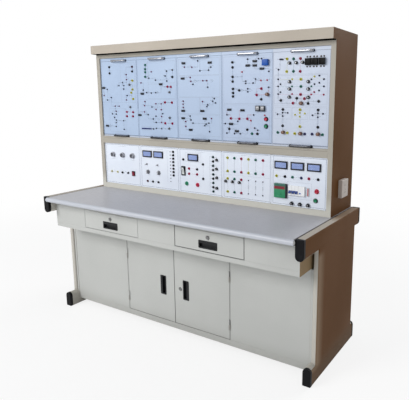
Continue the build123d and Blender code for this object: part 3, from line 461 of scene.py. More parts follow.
# Hinges: drawn steel knuckles on pins, welded to the cabinet and to each door's outer edge.
# They are left bare, with the fine lines of drawing along them.
hinge_steel, place = finish("hinge_steel", Metallic=1.0)
drawn = place.stretched(1.0, 1.0, 0.06).noise(800.0, 3.0)
feed(
    hinge_steel,
    Base_Color=drawn.blend(tone(152, 150, 146), tone(178, 176, 172)),
    Roughness=0.28 + drawn * 0.22,
    Normal=drawn.bump(0.00005),
)
eased("door_hinges", hinge_steel, 0.4)


# Recessed pulls: black moulded cups pressed into the drawer and door fronts behind a thin flange.
# Four rounded ribs stand on the floor of each cup, as the mould left them.
pull_plastic, place = finish("pull_plastic", Specular_IOR_Level=0.3)
grain = place.noise(1200.0, 2.0)
touched = place.noise(30.0, 4.0, 0.7).rise(0.52, 0.7)
feed(
    pull_plastic,
    Base_Color=(touched * 0.5).blend(tone(14, 15, 18), tone(36, 37, 40)),
    Roughness=0.34 + grain * 0.14 + touched * 0.10,
    Normal=grain.bump(0.00012, 0.6),
)
for node in ("left_drawer_pull", "right_drawer_pull", "left_door_pull", "right_door_pull"):
    eased(node, pull_plastic, 0.7, 3)


# Key locks: a chromed cylinder with a turned rim and a key slot, held in the front by its cam.
# A thin turned rosette lies round each on the sheet.
def clouded(name, tones, scale, detail, rough, spread, depth, share=1.0, **constants):
    """A finish that clouds from its first tone towards its second, its roughness and bumps with it."""
    material, place = finish(name, **constants)
    cloud = place.noise(scale, detail)
    return feed(material, Base_Color=(cloud * share).blend(*tones), Roughness=rough + cloud * spread,
                Normal=cloud.bump(depth))


lock_chrome = clouded("lock_chrome", (tone(112, 112, 112), tone(150, 150, 150)), 1500.0, 2.0, 0.14, 0.14, 0.00003,
                      Metallic=1.0)
lock_radius, lock_height = 0.009, 0.0033
rosette = [(12.2, 0), (12.2, 0.6), (11.4, 1.3), (10.0, 1.4), (9.4, 1.0), (9.4, 0)]
for lock, front in (
    ("left_drawer_lock", "left_drawer"),
    ("right_drawer_lock", "right_drawer"),
    ("door_lock", "right_door"),
):
    eased(lock, lock_chrome, 0.4)
    low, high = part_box(lock)
    place = (low.x + lock_radius, low.y + lock_height, high.z - lock_radius, white, 0.0, 1.0)
    stand(lock + "_rosette", turned(rosette, 32, open_middle=True), [place], lock_chrome, (), body_of(front),
          slot_of(lock))


# Console: a folded sheet box with louvres in its back, and a front frame that carries the panels.
# The box is stone grey in front; its two sides are sprayed brown like the end frames below.
# The console frame's lowest rail is painted paler, as bounce light from the desk.
# Under the header hood, the rail and the hood's inside are painted black as shade.
console_side_x = 0.8364
brown_sides = {"end_face": end_brown, "end_x": console_side_x}
for node, paint, face, drift, edge, extra in (
    ("console_shell", "console_paint", (184, 175, 163), (177, 168, 156), 0.3, brown_sides),
    ("console_frame", "rail_paint", (173, 168, 158), (167, 162, 152), 0.6,
     {"dark_from": (0.05, 1.6440, 1.6996, 0.8340), "wiped": tone(198, 196, 187)}),
    ("header_hood", "hood_paint", (184, 175, 163), (177, 168, 156), 0.6,
     {**brown_sides, "dark_from": (0.0336, 1.6, 1.6984, 0.8361)}),
):
    eased(node, powder_coat(paint, tone(*face), tone(*drift), **extra), edge)


# Supply transformer on the console floor: a stack of varnished core sheets with three taped coils.
# The varnish has dulled, and the sheets' edges show as fine lines.
core_steel, place = finish("core_steel", Specular_IOR_Level=0.4)
sheets_edge = (place.axes()[1] * 6000.0).maths("SINE").rise(-0.2, 0.6)
mottle = place.noise(60.0, 4.0)
feed(
    core_steel,
    Base_Color=mottle.blend(tone(74, 62, 48), tone(98, 84, 66)),
    Metallic=mottle * 0.5,
    Roughness=0.45 + mottle * 0.2,
    Normal=sheets_edge.bump(0.0002, 0.5),
)
eased("isolating_transformer", core_steel, 2)


# Power panels: thin aluminium plates sprayed very pale blue, with the circuits screened on in dark ink.
# Each is held by small screws through its edges into the frame behind.
def face_paint(name, face, drift):
    """A sprayed plate: satin, almost even, with faint cloudiness and fine texture."""
    material, place = finish(name, Specular_IOR_Level=0.4)
    slow = place.noise(2.6, 3.0).rise(0.3, 0.7)
    fine = place.noise(900.0, 2.0)
    wiped = place.stretched(0.3, 1.0, 1.0).noise(20.0, 4.0, 0.6).rise(0.45, 0.75)
    return feed(
        material,
        Base_Color=(fine * 0.06).blend(slow.blend(tone(*face), tone(*drift)), tone(140, 150, 165)),
        Roughness=0.34 + wiped * 0.10 + fine * 0.05,
        Normal=fine.bump(0.00008, 0.35),
    )


eased("power_panels", face_paint("power_face", (224, 230, 240), (218, 225, 237)), 0.3)
panel_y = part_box("power_panels")[0].y
panel_centres = [-0.648, -0.324, 0.0, 0.324, 0.648]
motor_x, supply_x, output_x, link_x, mains_x = panel_centres


# Fittings that the modules share: insulated 4 mm sockets, adjusters, chips on their holders and test pins.
# Each is pushed through a hole in the plate and held by a nut or by solder on the board behind.
red, black, yellow = tone(158, 6, 62), tone(10, 14, 26), tone(190, 184, 52)
green, dark_blue, brown = tone(4, 100, 84), tone(20, 24, 84), tone(124, 84, 66)
steel_grey, pin_dark, fuse_black = tone(96, 98, 104), tone(12, 16, 44), tone(24, 25, 30)
module_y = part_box("module_1")[0].y
shared_plastic = moulded("shared_plastic", 0.36, (64, 58, 50))
bright_plastic = moulded("bright_plastic", 0.32, (176, 176, 178))


def socket_shape():
    """A shrouded 4 mm socket: flange, tapered collar, and a bore with its contact at the bottom."""
    outline = [(5.9, 0.0), (5.9, 0.9), (5.4, 1.4), (4.9, 1.6), (4.6, 5.3), (4.1, 6.0), (3.1, 6.0), (2.7, 5.5),
               (2.6, 2.2), (1.9, 1.8), (1.2, 1.0), (0.0, 1.0)]
    return turned([(radius * 1.2, height) for radius, height in outline], 20, 9, 12)


def fluted(outline, sides, from_radius, depth, *metal, **more):
    """A turned shape with grip flutes: every other point beyond a radius is drawn in a little."""
    shape = turned(outline, sides, *metal, **more)
    for vertex in shape.verts:
        radius = math.hypot(vertex.co.x, vertex.co.z) * 1000
        step = round(math.atan2(vertex.co.z, vertex.co.x) / math.tau * sides)
        if radius > from_radius and step % 2 and vertex.co.y < -0.0015:
            vertex.co.x *= 1 - depth / radius
            vertex.co.z *= 1 - depth / radius
    return shape


def trimmer_shape():
    """A small adjuster: a knurled metal cap with a screwdriver slot, on a plain collar."""
    outline = [(7.2, 0), (7.2, 0.6), (6.2, 1.0), (6.1, 6.6), (5.6, 7.4), (4.4, 8.0), (0, 8.0)]
    return slab(fluted(outline, 32, 5.0, 0.4), (-4.0, -8.3, -0.5), (4.0, -7.8, 0.5))


def chip_shape():
    """A dual-in-line chip: a drafted black body over two rows of tinned legs."""
    shape = slab(bmesh.new(), (-13.0, -4.8, -5.6), (13.0, -0.8, 5.6), 0.5)
    for step in range(8):
        x = -9.8 + step * 2.8
        for low, high in ((-6.2, -5.5), (5.5, 6.2)):
            slab(shape, (x - 0.5, -2.4, low), (x + 0.5, 0.0, high), metal=1.0)
    return shape


def pin_shape():
    """A 2 mm test socket: a small moulded collar round its contact."""
    outline = [(3.7, 0), (3.7, 0.7), (3.2, 1.2), (3.0, 3.2), (2.6, 3.7), (1.5, 3.7), (1.2, 1.4), (0, 1.2)]
    return turned(outline, 14, 7, 7)


def screw_shape():
    """A cross-recessed pan head screw."""
    shape = turned([(3.3, 0), (3.3, 0.5), (2.6, 1.5), (1.3, 1.9), (0, 2.0)], 14, 0, 5)
    for turn in (0.0, math.pi / 2):
        slab(shape, (-1.8, -2.1, -0.3), (1.8, -1.6, 0.3), turn=turn)
    return shape


def spots(centre, places, tint, turn=0.0, size=1.0, proud=0.0):
    """Places in millimetres from a panel's middle line and the floor, as stand() wants them."""
    return [(centre + x / 1000, module_y - proud, z / 1000, tint, turn, size) for x, z in places]


def fit_module(number, sockets, chips, pins, trimmers=()):
    """Stands the shared fittings on a module: sockets by colour, chips, test pins by colour, adjusters."""
    body = f"module_{number}"
    for kind, shape, rows, material in (
        ("sockets", socket_shape, [(tint, places, 1.06) for tint, places in sockets], shared_plastic),
        ("chips", chip_shape, [(black, chips, 1.0)], shared_plastic),
        ("pins", pin_shape, [(tint, places, 1.28) for tint, places in pins], shared_plastic),
        ("adjusters", trimmer_shape, [(steel_grey, places, size) for places, size in trimmers], bright_plastic),
    ):
        places = [spot for tint, row, size in rows for spot in spots(panel_centres[number - 1], row, tint, 0.0, size)]
        if places:
            stands_for = [body + "_terminals"] if kind in ("sockets", "adjusters") else ()
            stand(f"{body}_{kind}", shape(), places, material, stands_for, body)


# Experiment modules: a sprayed aluminium plate closing a shallow sheet case, held at top and bottom.
# Circuits are screened on each plate, with its sockets, adjusters and test pins at their nodes.
for number, (face, drift) in enumerate((
    ((168, 186, 211), (162, 180, 206)),
    ((168, 186, 211), (162, 180, 206)),
    ((171, 188, 212), (165, 182, 207)),
    ((173, 188, 212), (168, 183, 207)),
    ((190, 199, 216), (185, 194, 211)),
), 1):
    eased(f"module_{number}", face_paint(f"module_face_{number}", face, drift), 0.3)

ink, blue_ink, red_ink, grey_ink = tone(44, 50, 66), tone(62, 78, 110), tone(178, 52, 48), tone(128, 134, 148)
screen_ink, place = finish("screen_ink", Specular_IOR_Level=0.3)
patchy = place.noise(420.0, 3.0)
feed(
    screen_ink,
    Base_Color=(patchy * 0.25).blend(place.attribute("tint"), tone(150, 156, 170)),
    Roughness=0.55 + patchy * 0.2,
    Normal=patchy.bump(0.00003),
)


class Drawing:
    """Lines screened on a panel as one thin layer, in millimetres from a middle line and the floor."""

    def __init__(self, centre, face_y, paper=None, seed=0):
        self.centre, self.ink_y, self.paper, self.dice = centre, face_y - 0.00012, paper, random.Random(seed)
        self.shape = bmesh.new()
        self.tint = self.shape.verts.layers.float_color.new("tint")

    def patch(self, corners, colour):
        """A flat patch between (x, z) corners."""
        front = [self.shape.verts.new((self.centre + x / 1000, self.ink_y, z / 1000)) for x, z in corners]
        for vertex in front:
            vertex[self.tint] = colour
        self.shape.faces.new(front)

    def line(self, colour, width, *points):
        """A straight line of ink from each (x, z) point to the next."""
        for start, end in zip(points, points[1:]):
            start, end = Vector(start), Vector(end)
            if (end - start).length > 0.001:
                along = (end - start).normalized() * width / 2
                aside = Vector((-along.y, along.x))
                first, last = start - along, end + along
                self.patch([first + aside, first - aside, last - aside, last + aside], colour)

    def box(self, x0, z0, x1, z1, colour=grey_ink, width=0.6):
        self.line(colour, width, (x0, z0), (x1, z0), (x1, z1), (x0, z1), (x0, z0))

    def dial(self, x, z, radius):
        """Eleven tick marks round a knob, from its lower left over the top to its lower right."""
        for step in range(11):
            angle = math.radians(225 - 27 * step)
            way = Vector((math.cos(angle), math.sin(angle)))
            inner = Vector((x, z)) + way * radius
            self.line(ink, 0.6, inner, inner + way * 3)

    def resistor(self, x, z, wide, high, colour=ink):
        """A box drawn over a trace, cleared inside."""
        low_x, low_z, high_x, high_z = x - wide / 2, z - high / 2, x + wide / 2, z + high / 2
        self.patch([(low_x, low_z), (high_x, low_z), (high_x, high_z), (low_x, high_z)], self.paper)
        self.box(low_x, low_z, high_x, high_z, colour)

    def part(self, start, end, colour):
        """A resistor, capacitor or diode drawn on the middle of a straight trace."""
        upright = abs(start[0] - end[0]) < abs(start[1] - end[1])
        x, z = (start[0] + end[0]) / 2, (start[1] + end[1]) / 2
        kind = self.dice.choice(("resistor", "resistor", "capacitor", "diode"))
        if kind == "resistor":
            self.resistor(x, z, *((3.6, 9.0) if upright else (9.0, 3.6)), colour)
            return

        def turn(along, across):
            return (x + across, z + along) if upright else (x + along, z + across)

        gap = 1.2 if kind == "capacitor" else 2.0
        self.patch([turn(-gap, -1), turn(gap, -1), turn(gap, 1), turn(-gap, 1)], self.paper)
        self.line(colour, 0.6, turn(gap, -3.2), turn(gap, 3.2))
        if kind == "capacitor":
            self.line(colour, 0.6, turn(-gap, -3.2), turn(-gap, 3.2))
        else:
            self.line(colour, 0.6, turn(-gap, -2.6), turn(-gap, 2.6), turn(gap, 0), turn(-gap, -2.6))

    def traces(self, nodes, colour=ink):
        """Joins each node to its nearest earlier one by a line with one corner, a part drawn on some.
        Short bars beside the nodes stand where labels would be."""
        for x, z in nodes:
            side, level = self.dice.choice((-1, 1)), self.dice.uniform(-3.0, 8.0)
            long = self.dice.uniform(4.0, 9.0)
            self.line(ink, 1.3, (x + side * 8.5, z + level), (x + side * (8.5 + long), z + level))
        joined = [nodes[0]]
        for node in nodes[1:]:
            near = min(joined, key=lambda other: math.dist(other, node))
            joined.append(node)
            if math.dist(near, node) > 95:
                continue
            corner = (near[0], node[1]) if self.dice.random() < 0.5 else (node[0], near[1])
            self.line(colour, 0.8, near, corner, node)
            longer = max((near, corner), (corner, node), key=lambda pair: math.dist(*pair))
            if math.dist(*longer) > 22 and self.dice.random() < 0.75:
                self.part(*longer, colour)

    def amplifier(self, x, z):
        """A triangle with plus and minus marks, standing for an amplifier."""
        self.line(ink, 0.6, (x - 9, z - 9), (x - 9, z + 9), (x + 9, z), (x - 9, z - 9))
        x, high, low = x - 5.4, z + 4.05, z - 4.05
        self.line(ink, 0.7, (x - 1.3, high), (x + 1.3, high))
        self.line(ink, 0.7, (x, high - 1.3), (x, high + 1.3))
        self.line(ink, 0.5, (x - 1.3, low), (x + 1.3, low))

    def keep(self, name, body="desk_and_console", slot="power_panel_face"):
        """Lays the layer down facing the user and fixes it to its panel."""
        bmesh.ops.recalc_face_normals(self.shape, faces=self.shape.faces)
        for face in self.shape.faces:
            if face.normal.y > 0:
                face.normal_flip()
        mesh = bpy.data.meshes.new(name)
        self.shape.to_mesh(mesh)
        self.shape.free()
        mesh.materials.append(screen_ink)
        keep(name, mesh, body, slot)


def module_drawing(number, paper, seed, boxes, partings=(), nets=(), red_nets=(), amplifiers=(), dials=()):
    """A module's drawing: its border, the pale strip and dark line along its foot, then what is given."""
    drawing = Drawing(panel_centres[number - 1], module_y, tone(*paper), seed)
    drawing.box(-158, 1131, 158, 1603, blue_ink, 1.4)
    drawing.patch([(-161, 1118), (161, 1118), (161, 1126), (-161, 1126)], tone(194, 201, 214))
    drawing.line(tone(52, 62, 88), 2.2, (-160, 1127.3), (160, 1127.3))
    for box in boxes:
        drawing.box(*box)
    for z, left, right in partings:
        drawing.line(grey_ink, 0.5, (left, z), (right, z))
    for index, net in enumerate(nets):
        drawing.traces(net, red_ink if index in red_nets else ink)
    for x, z in amplifiers:
        drawing.amplifier(x, z)
    for x, z, radius in dials:
        drawing.dial(x, z, radius)
    return drawing


# First module: the current and voltage pick-offs, with sockets down its right edge.
# Two adjusters set the levels of its amplifiers.
fit_module(
    1,
    sockets=[
        (black, [(-79, 1566), (-79, 1527), (124, 1534)]),
        (tone(70, 8, 40), [(125, 1562)]),
        (red, [(62, 1280), (117, 1279), (61, 1252), (115, 1253)]),
        (yellow, [(123, 1477), (121, 1422), (109, 1402), (123, 1363)]),
    ],
    chips=[(-142, 1434), (-124, 1185)],
    pins=[
        (pin_dark, [(45, 1447), (43, 1425), (35, 1466), (1, 1447), (-109, 1424), (-76, 1371), (-112, 1355), (71, 1384),
                    (-53, 1242), (-38, 1225), (-41, 1208), (-43, 1183), (28, 1222), (29, 1166), (-71, 1265),
                    (-36, 1264)]),
        (tone(92, 30, 66), [(70, 1515), (71, 1484), (-141, 1385), (63, 1356), (-43, 1316), (-6, 1316), (-36, 1283)]),
    ],
    trimmers=[([(96, 1452), (95, 1311)], 1.0)],
)
module_drawing(
    1, (170, 194, 228), 11,
    boxes=[(18, 1340, 142, 1590), (-100, 1150, 48, 1300)],
    partings=[(1340, -150, 10)],
    nets=[
        [(-79, 1566), (-79, 1527), (1, 1447), (35, 1466), (45, 1447), (43, 1425), (71, 1484), (70, 1515), (125, 1562),
         (124, 1534), (96, 1452), (123, 1477), (121, 1422), (109, 1402), (123, 1363), (71, 1384), (63, 1356)],
        [(-142, 1434), (-109, 1424), (-141, 1385), (-76, 1371), (-112, 1355), (-43, 1316), (-6, 1316), (-36, 1283),
         (-71, 1265), (-36, 1264), (-53, 1242), (-38, 1225), (-41, 1208), (-43, 1183), (-124, 1185), (28, 1222),
         (29, 1166)],
        [(62, 1280), (61, 1252), (95, 1311), (117, 1279), (115, 1253)],
    ],
    red_nets=[2],
    amplifiers=[(-8, 1447), (-92, 1186)],
    dials=[(96, 1452, 8.8), (95, 1311, 8.8)],
).keep("module_1_print", "module_1", "module_face")


# Second module: the regulators, each with its feedback parts plugged between red sockets.
# A row of seven test pins stands in a frame at its foot.
fit_module(
    2,
    sockets=[
        (green, [(-87, 1569), (-89, 1544), (-88, 1526), (-90, 1498)]),
        (black, [(128, 1493)]),
        (red, [(88, 1436), (113, 1435), (64, 1343), (119, 1342), (61, 1216), (118, 1216)]),
    ],
    chips=[(35, 1451), (-120, 1395), (-148, 1262)],
    pins=[
        (pin_dark, [(84, 1528), (71, 1500), (83, 1470), (-61, 1489), (-7, 1477), (-111, 1418), (-83, 1402), (-45, 1399),
                    (-9, 1401), (-44, 1314), (-78, 1266), (-13, 1258), (-36, 1240), (-37, 1178), (-12, 1182),
                    (-13, 1219), (43, 1274), (30, 1182)]),
        (tone(110, 30, 78), [(-40, 1527), (-128, 1462), (-101, 1347), (-105, 1322), (-10, 1334), (33, 1334),
                             (-11, 1299), (32, 1298), (-108, 1283), (33, 1257), (32, 1220)]),
        (tone(22, 30, 110), [(-130 + 11.8 * step, 1178) for step in range(7)]),
    ],
    trimmers=[([(102, 1403), (98, 1250), (92, 1184)], 1.0), ([(129, 1534)], 0.8)],
)
drawing = module_drawing(
    2, (170, 194, 228), 23,
    boxes=[(-70, 1460, 146, 1588), (-70, 1366, 146, 1452)],
    partings=[(1360, -150, 150)],
    nets=[
        [(-87, 1569), (-89, 1544), (-88, 1526), (-90, 1498), (-61, 1489), (-40, 1527), (-7, 1477), (71, 1500),
         (84, 1528), (83, 1470), (129, 1534), (128, 1493)],
        [(-128, 1462), (-111, 1418), (-120, 1395), (-83, 1402), (-45, 1399), (-9, 1401), (35, 1451), (88, 1436),
         (113, 1435), (102, 1403)],
        [(-105, 1322), (-101, 1347), (-44, 1314), (-11, 1299), (-10, 1334), (33, 1334), (32, 1298), (64, 1343),
         (119, 1342)],
        [(-108, 1283), (-148, 1262), (-78, 1266), (-36, 1240), (-13, 1258), (-13, 1219), (32, 1220), (33, 1257),
         (43, 1274), (61, 1216), (118, 1216), (98, 1250)],
        [(-59, 1178), (-37, 1178), (-12, 1182), (30, 1182), (92, 1184)],
    ],
    amplifiers=[(8, 1401), (10, 1318), (10, 1240)],
    dials=[(102, 1403, 8.8), (98, 1250, 8.8), (92, 1184, 8.8)],
)
drawing.box(-138, 1168, -52, 1190)
drawing.keep("module_2_print", "module_2", "module_face")


# Third module: pulse-shaping logic, made up of chips and test pins without any sockets.
# A thin frame is drawn round each of its five stages.
fit_module(
    3,
    sockets=[],
    chips=[(-108, 1569), (81, 1566), (-117, 1482), (-119, 1294), (23, 1295), (-120, 1250), (40, 1251), (-65, 1183)],
    pins=[
        (pin_dark, [(-4, 1579), (10, 1523), (88, 1541), (72, 1525), (-42, 1448), (64, 1430), (109, 1366), (98, 1351),
                    (118, 1342), (62, 1331), (56, 1321), (-68, 1264), (-62, 1241), (-47, 1223), (69, 1226), (49, 1220),
                    (39, 1210), (73, 1177)]),
        (tone(104, 26, 74), [(-103, 1547), (-48, 1545), (-61, 1487), (-57, 1465), (30, 1467), (58, 1467), (-117, 1351),
                             (-119, 1333), (-117, 1314), (26, 1349), (-102, 1231), (-102, 1202), (88, 1253)]),
    ],
)
module_drawing(
    3, (174, 198, 230), 37,
    boxes=[(-148, 1500, 146, 1592), (-148, 1376, 146, 1496), (-148, 1278, 4, 1372), (8, 1278, 146, 1372),
           (-148, 1150, 146, 1272)],
    nets=[
        [(-108, 1569), (-103, 1547), (-48, 1545), (-4, 1579), (10, 1523), (72, 1525), (88, 1541), (81, 1566)],
        [(-117, 1482), (-61, 1487), (-57, 1465), (-42, 1448), (30, 1467), (58, 1467), (64, 1430)],
        [(-117, 1351), (-119, 1333), (-117, 1314), (-119, 1294)],
        [(26, 1349), (62, 1331), (56, 1321), (23, 1295), (98, 1351), (109, 1366), (118, 1342)],
        [(-120, 1250), (-68, 1264), (-62, 1241), (-47, 1223), (-102, 1231), (-102, 1202), (-65, 1183), (39, 1210),
         (49, 1220), (69, 1226), (88, 1253), (40, 1251), (73, 1177)],
    ],
    amplifiers=[(-20, 1466), (96, 1465)],
).keep("module_3_print", "module_3", "module_face")


# Fourth module: the trigger unit, with a sealed blue power block, two plug-in relays and two buttons.
# The relays are grey cases with a clear window; their pins reach through the plate.
fit_module(
    4,
    sockets=[
        (black, [(-90, 1562), (-89, 1535), (-89, 1484), (-89, 1459), (-87, 1419), (-86, 1397), (-87, 1378),
                 (-46, 1411), (94, 1363), (-113, 1198), (6, 1198), (71, 1177)]),
        (red, [(94, 1419), (65, 1386), (-102, 1257), (-46, 1256), (6, 1257)]),
        (green, [(37, 1177)]),
    ],
    chips=[(53, 1563), (9, 1542), (53, 1541), (97, 1523), (-112, 1305), (-25, 1303), (-100, 1226), (-62, 1187)],
    pins=[
        (pin_dark, [(8, 1575), (76, 1575), (94, 1575), (139, 1508), (58, 1470), (42, 1449), (138, 1426), (-4, 1460),
                    (-4, 1448), (9, 1419), (9, 1403), (-129, 1277), (47, 1279), (-56, 1242), (-140, 1227), (54, 1208),
                    (73, 1197), (-130, 1174), (-78, 1173), (-40, 1174)]),
        (tone(180, 52, 70), [(-28, 1509), (91, 1462), (129, 1463), (116, 1278), (29, 1248)]),
    ],
)
power_block = slab(bmesh.new(), (-17.5, -14.0, -16.0), (17.5, 0.0, 16.0), 1.2)
slab(power_block, (-15.0, -14.6, -13.5), (15.0, -13.8, 13.5), 0.2)
stand("module_4_power_block", power_block, spots(link_x, [(120, 1554)], tone(22, 78, 160)), bright_plastic,
      ["module_4_terminals"], "module_4")
relay = slab(bmesh.new(), (-13.5, -11.2, -14.5), (13.5, 0.0, 14.5), 1.6)
slab(relay, (-9.8, -12.0, -8.5), (9.8, -11.0, 10.5), 0.4, 0.5)
slab(relay, (-11.5, -11.8, -13.5), (11.5, -11.0, -10.5), 0.3)
stand("module_4_relays", relay, spots(link_x, [(75, 1314), (105, 1314)], tone(48, 54, 62)), bright_plastic,
      ["module_4_terminals"], "module_4")
drawing = module_drawing(
    4, (178, 200, 230), 41,
    boxes=[(-150, 1340, 146, 1592), (-150, 1150, 146, 1332)],
    nets=[
        [(-90, 1562), (9, 1542), (8, 1575), (53, 1541), (53, 1563), (76, 1575), (94, 1575), (97, 1523), (139, 1508)],
        [(-89, 1535), (-89, 1484), (-28, 1509), (-4, 1460), (-4, 1448), (-89, 1459), (42, 1449), (58, 1470),
         (91, 1462), (129, 1463)],
        [(-87, 1419), (-86, 1397), (-87, 1378), (-46, 1411), (9, 1419), (9, 1403)],
        [(65, 1386), (94, 1419), (94, 1363), (132, 1389), (138, 1426)],
        [(-129, 1277), (-102, 1257), (-112, 1305), (-46, 1256), (-25, 1303), (6, 1257), (47, 1279), (29, 1248),
         (54, 1208), (73, 1197), (71, 1177), (37, 1177)],
        [(-140, 1227), (-100, 1226), (-56, 1242), (-113, 1198), (-62, 1187), (-130, 1174), (-78, 1173), (-40, 1174),
         (6, 1198)],
    ],
    red_nets=[3, 4],
    amplifiers=[(-24, 1411), (28, 1411)],
)
drawing.box(56, 1296, 124, 1332)
drawing.dial(132, 1389, 11.8)
drawing.keep("module_4_print", "module_4", "module_face")


# Fifth module: the main circuit, with three finned black power blocks, screw-in fuses and load adjusters.
# The blocks' fins are moulded with them; small screw terminals lie above and below.
fit_module(
    5,
    sockets=[
        (yellow, [(-79, 1567), (-80, 1504), (1, 1464), (0, 1311), (1, 1225), (-71, 1190), (-28, 1188)]),
        (green, [(-42, 1566), (-42, 1504), (2, 1428), (-128, 1190), (127, 1188)]),
        (red, [(-4, 1566), (-4, 1503), (1, 1388), (23, 1367), (-41, 1344)]),
        (black, [(-112, 1358), (-20, 1369), (101, 1354), (44, 1343), (-99, 1311), (100, 1311), (-99, 1226),
                 (101, 1225)]),
        (dark_blue, [(29, 1188), (70, 1189)]),
    ],
    chips=[],
    pins=[
        (pin_dark, [(-119, 1566), (-111, 1566), (-104, 1565), (-128, 1515), (-129, 1466), (-115, 1441), (-129, 1430),
                    (-115, 1400), (-128, 1390), (101, 1480), (126, 1462), (102, 1445), (127, 1427), (102, 1407),
                    (-130, 1286), (-100, 1294), (-71, 1294), (-100, 1277), (70, 1284), (99, 1294), (127, 1292),
                    (99, 1275), (59, 1463), (76, 1439)]),
        (yellow, [(-48, 1465), (75, 1476), (-28, 1285), (27, 1292), (-1, 1276), (-1, 1295)]),
        (green, [(-48, 1429), (60, 1428)]),
        (red, [(-47, 1390), (76, 1400), (60, 1388), (127, 1387)]),
    ],
)


def fuse_shape():
    """A screw-in fuse carrier: a knurled black cap with a plated, slotted contact in its middle."""
    outline = [(8.6, 0), (8.6, 1.6), (7.9, 2.2), (7.6, 9.6), (7.1, 10.6), (5.8, 11.0), (4.6, 10.4), (2.9, 10.4),
               (2.6, 10.9), (0, 10.9)]
    return slab(fluted(outline, 36, 7.0, 0.4, 8, 9), (-2.2, -11.2, -0.4), (2.2, -10.7, 0.4))


fins = slab(bmesh.new(), (-15.5, -6.0, -17.0), (15.5, 0.0, 17.0), 0.8)
for step in range(5):
    x = -13.6 + step * 6.8
    slab(fins, (x - 1.6, -16.0, -16.5), (x + 1.6, -5.8, 16.5), 0.4)
fuse_places = [(-64, 1546), (-26, 1546), (10, 1547), (-62, 1452), (-62, 1416), (-62, 1375), (43, 1451), (44, 1415),
               (45, 1374)]
block_places = [(42, 1549), (78, 1549), (116, 1549)]
clamp_places = [(x + aside, z) for x, _ in block_places for aside in (-8, 8) for z in (1525, 1573)]
for name, shape, places, material in (
    ("module_5_fuses", fuse_shape(), spots(mains_x, fuse_places, fuse_black), bright_plastic),
    ("module_5_power_blocks", fins, spots(mains_x, block_places, tone(9, 7, 9)), shared_plastic),
    ("module_5_clamps", screw_shape(), spots(mains_x, clamp_places, tone(60, 12, 22), 0.0, 1.35), shared_plastic),
):
    stand(name, shape, places, material, ["module_5_terminals"], "module_5")
drawing = module_drawing(5, (198, 209, 230), 53, boxes=[], partings=[(1490, -150, 146), (1330, -150, 146)])
for box in ((-150, 1340, 146, 1484), (-146, 1262, -50, 1322), (-44, 1262, 44, 1322), (54, 1262, 146, 1322)):
    drawing.box(*box)
for x, colour in ((-79, yellow), (-42, green), (-4, red)):
    drawing.line(colour, 0.9, (x, 1566), (x, 1504))
for z, colour in ((1464, yellow), (1428, tone(80, 150, 144)), (1388, tone(208, 132, 160))):
    drawing.line(colour, 0.6, (-129, z), (127, z))
for x, colour in ((-99, ink), (0, yellow), (100, ink)):
    drawing.line(colour, 0.7, (x, 1311), (x, 1192))
for x in (-100, 0, 100):
    drawing.resistor(x, 1250, 6.0, 16.0)
drawing.traces([(-119, 1566), (-104, 1565), (-128, 1515), (-129, 1466), (-129, 1430), (-128, 1390), (-112, 1358),
                (-41, 1344), (-20, 1369), (23, 1367), (44, 1343), (101, 1354)])
drawing.traces([(-130, 1286), (-100, 1294), (-71, 1294), (-100, 1277)])
drawing.traces([(70, 1284), (99, 1294), (127, 1292), (99, 1275)])
for colour, start, end in ((green, (-128, 1190), (-71, 1190)), (yellow, (-28, 1188), (29, 1188)),
                           (dark_blue, (70, 1189), (127, 1188))):
    drawing.line(colour, 0.8, start, end)
for x, z in ((6, 1344), (-94, 1192), (6, 1189), (104, 1190)):
    drawing.dial(x, z, 11.8)
drawing.keep("module_5_print", "module_5", "module_face")


# Bow handles: bright chromed round bar, bent at both ends and screwed to the plate from behind.
# A small black collar lies at each foot. The lower bows are darker, as a painted reflection of the dark bench.
handle_chrome, place = finish("handle_chrome", Metallic=1.0)
polish = place.noise(260.0, 2.0)
# Painted reflection: the chrome's colour is dark below 1.3 m, where the bows would mirror the bench.
bench_reflection_chrome = (place.axes()[2] < 1.3).blend(tone(172, 173, 178), tone(44, 45, 50))
feed(
    handle_chrome,
    Base_Color=(polish * 0.12).blend(bench_reflection_chrome, tone(210, 210, 214)),
    Roughness=0.12 + polish * 0.10,
    Normal=polish.bump(0.00003, 0.25),
)
bar, bend, reach, rim_to_bar = 0.0052, 0.012, 0.024, 0.004


def bow(curve, left, right, z):
    """The middle line of one bow: out from the plate, round a bend, along, and back."""
    out_y = module_y - reach + bar
    turns = [math.radians(90 * step / 8) for step in range(9)]
    line = []
    for corner_x, way in ((left + bar, 1), (right - bar, -1)):
        arc = [(corner_x + way * bend * (1 - math.cos(a)), out_y + bend * (1 - math.sin(a))) for a in turns]
        line += [(corner_x, module_y + 0.0005), *arc][::way]
    spline = curve.splines.new("POLY")
    spline.points.add(len(line) - 1)
    for point, (x, y) in zip(spline.points, line):
        point.co = (x, y, z, 1.0)


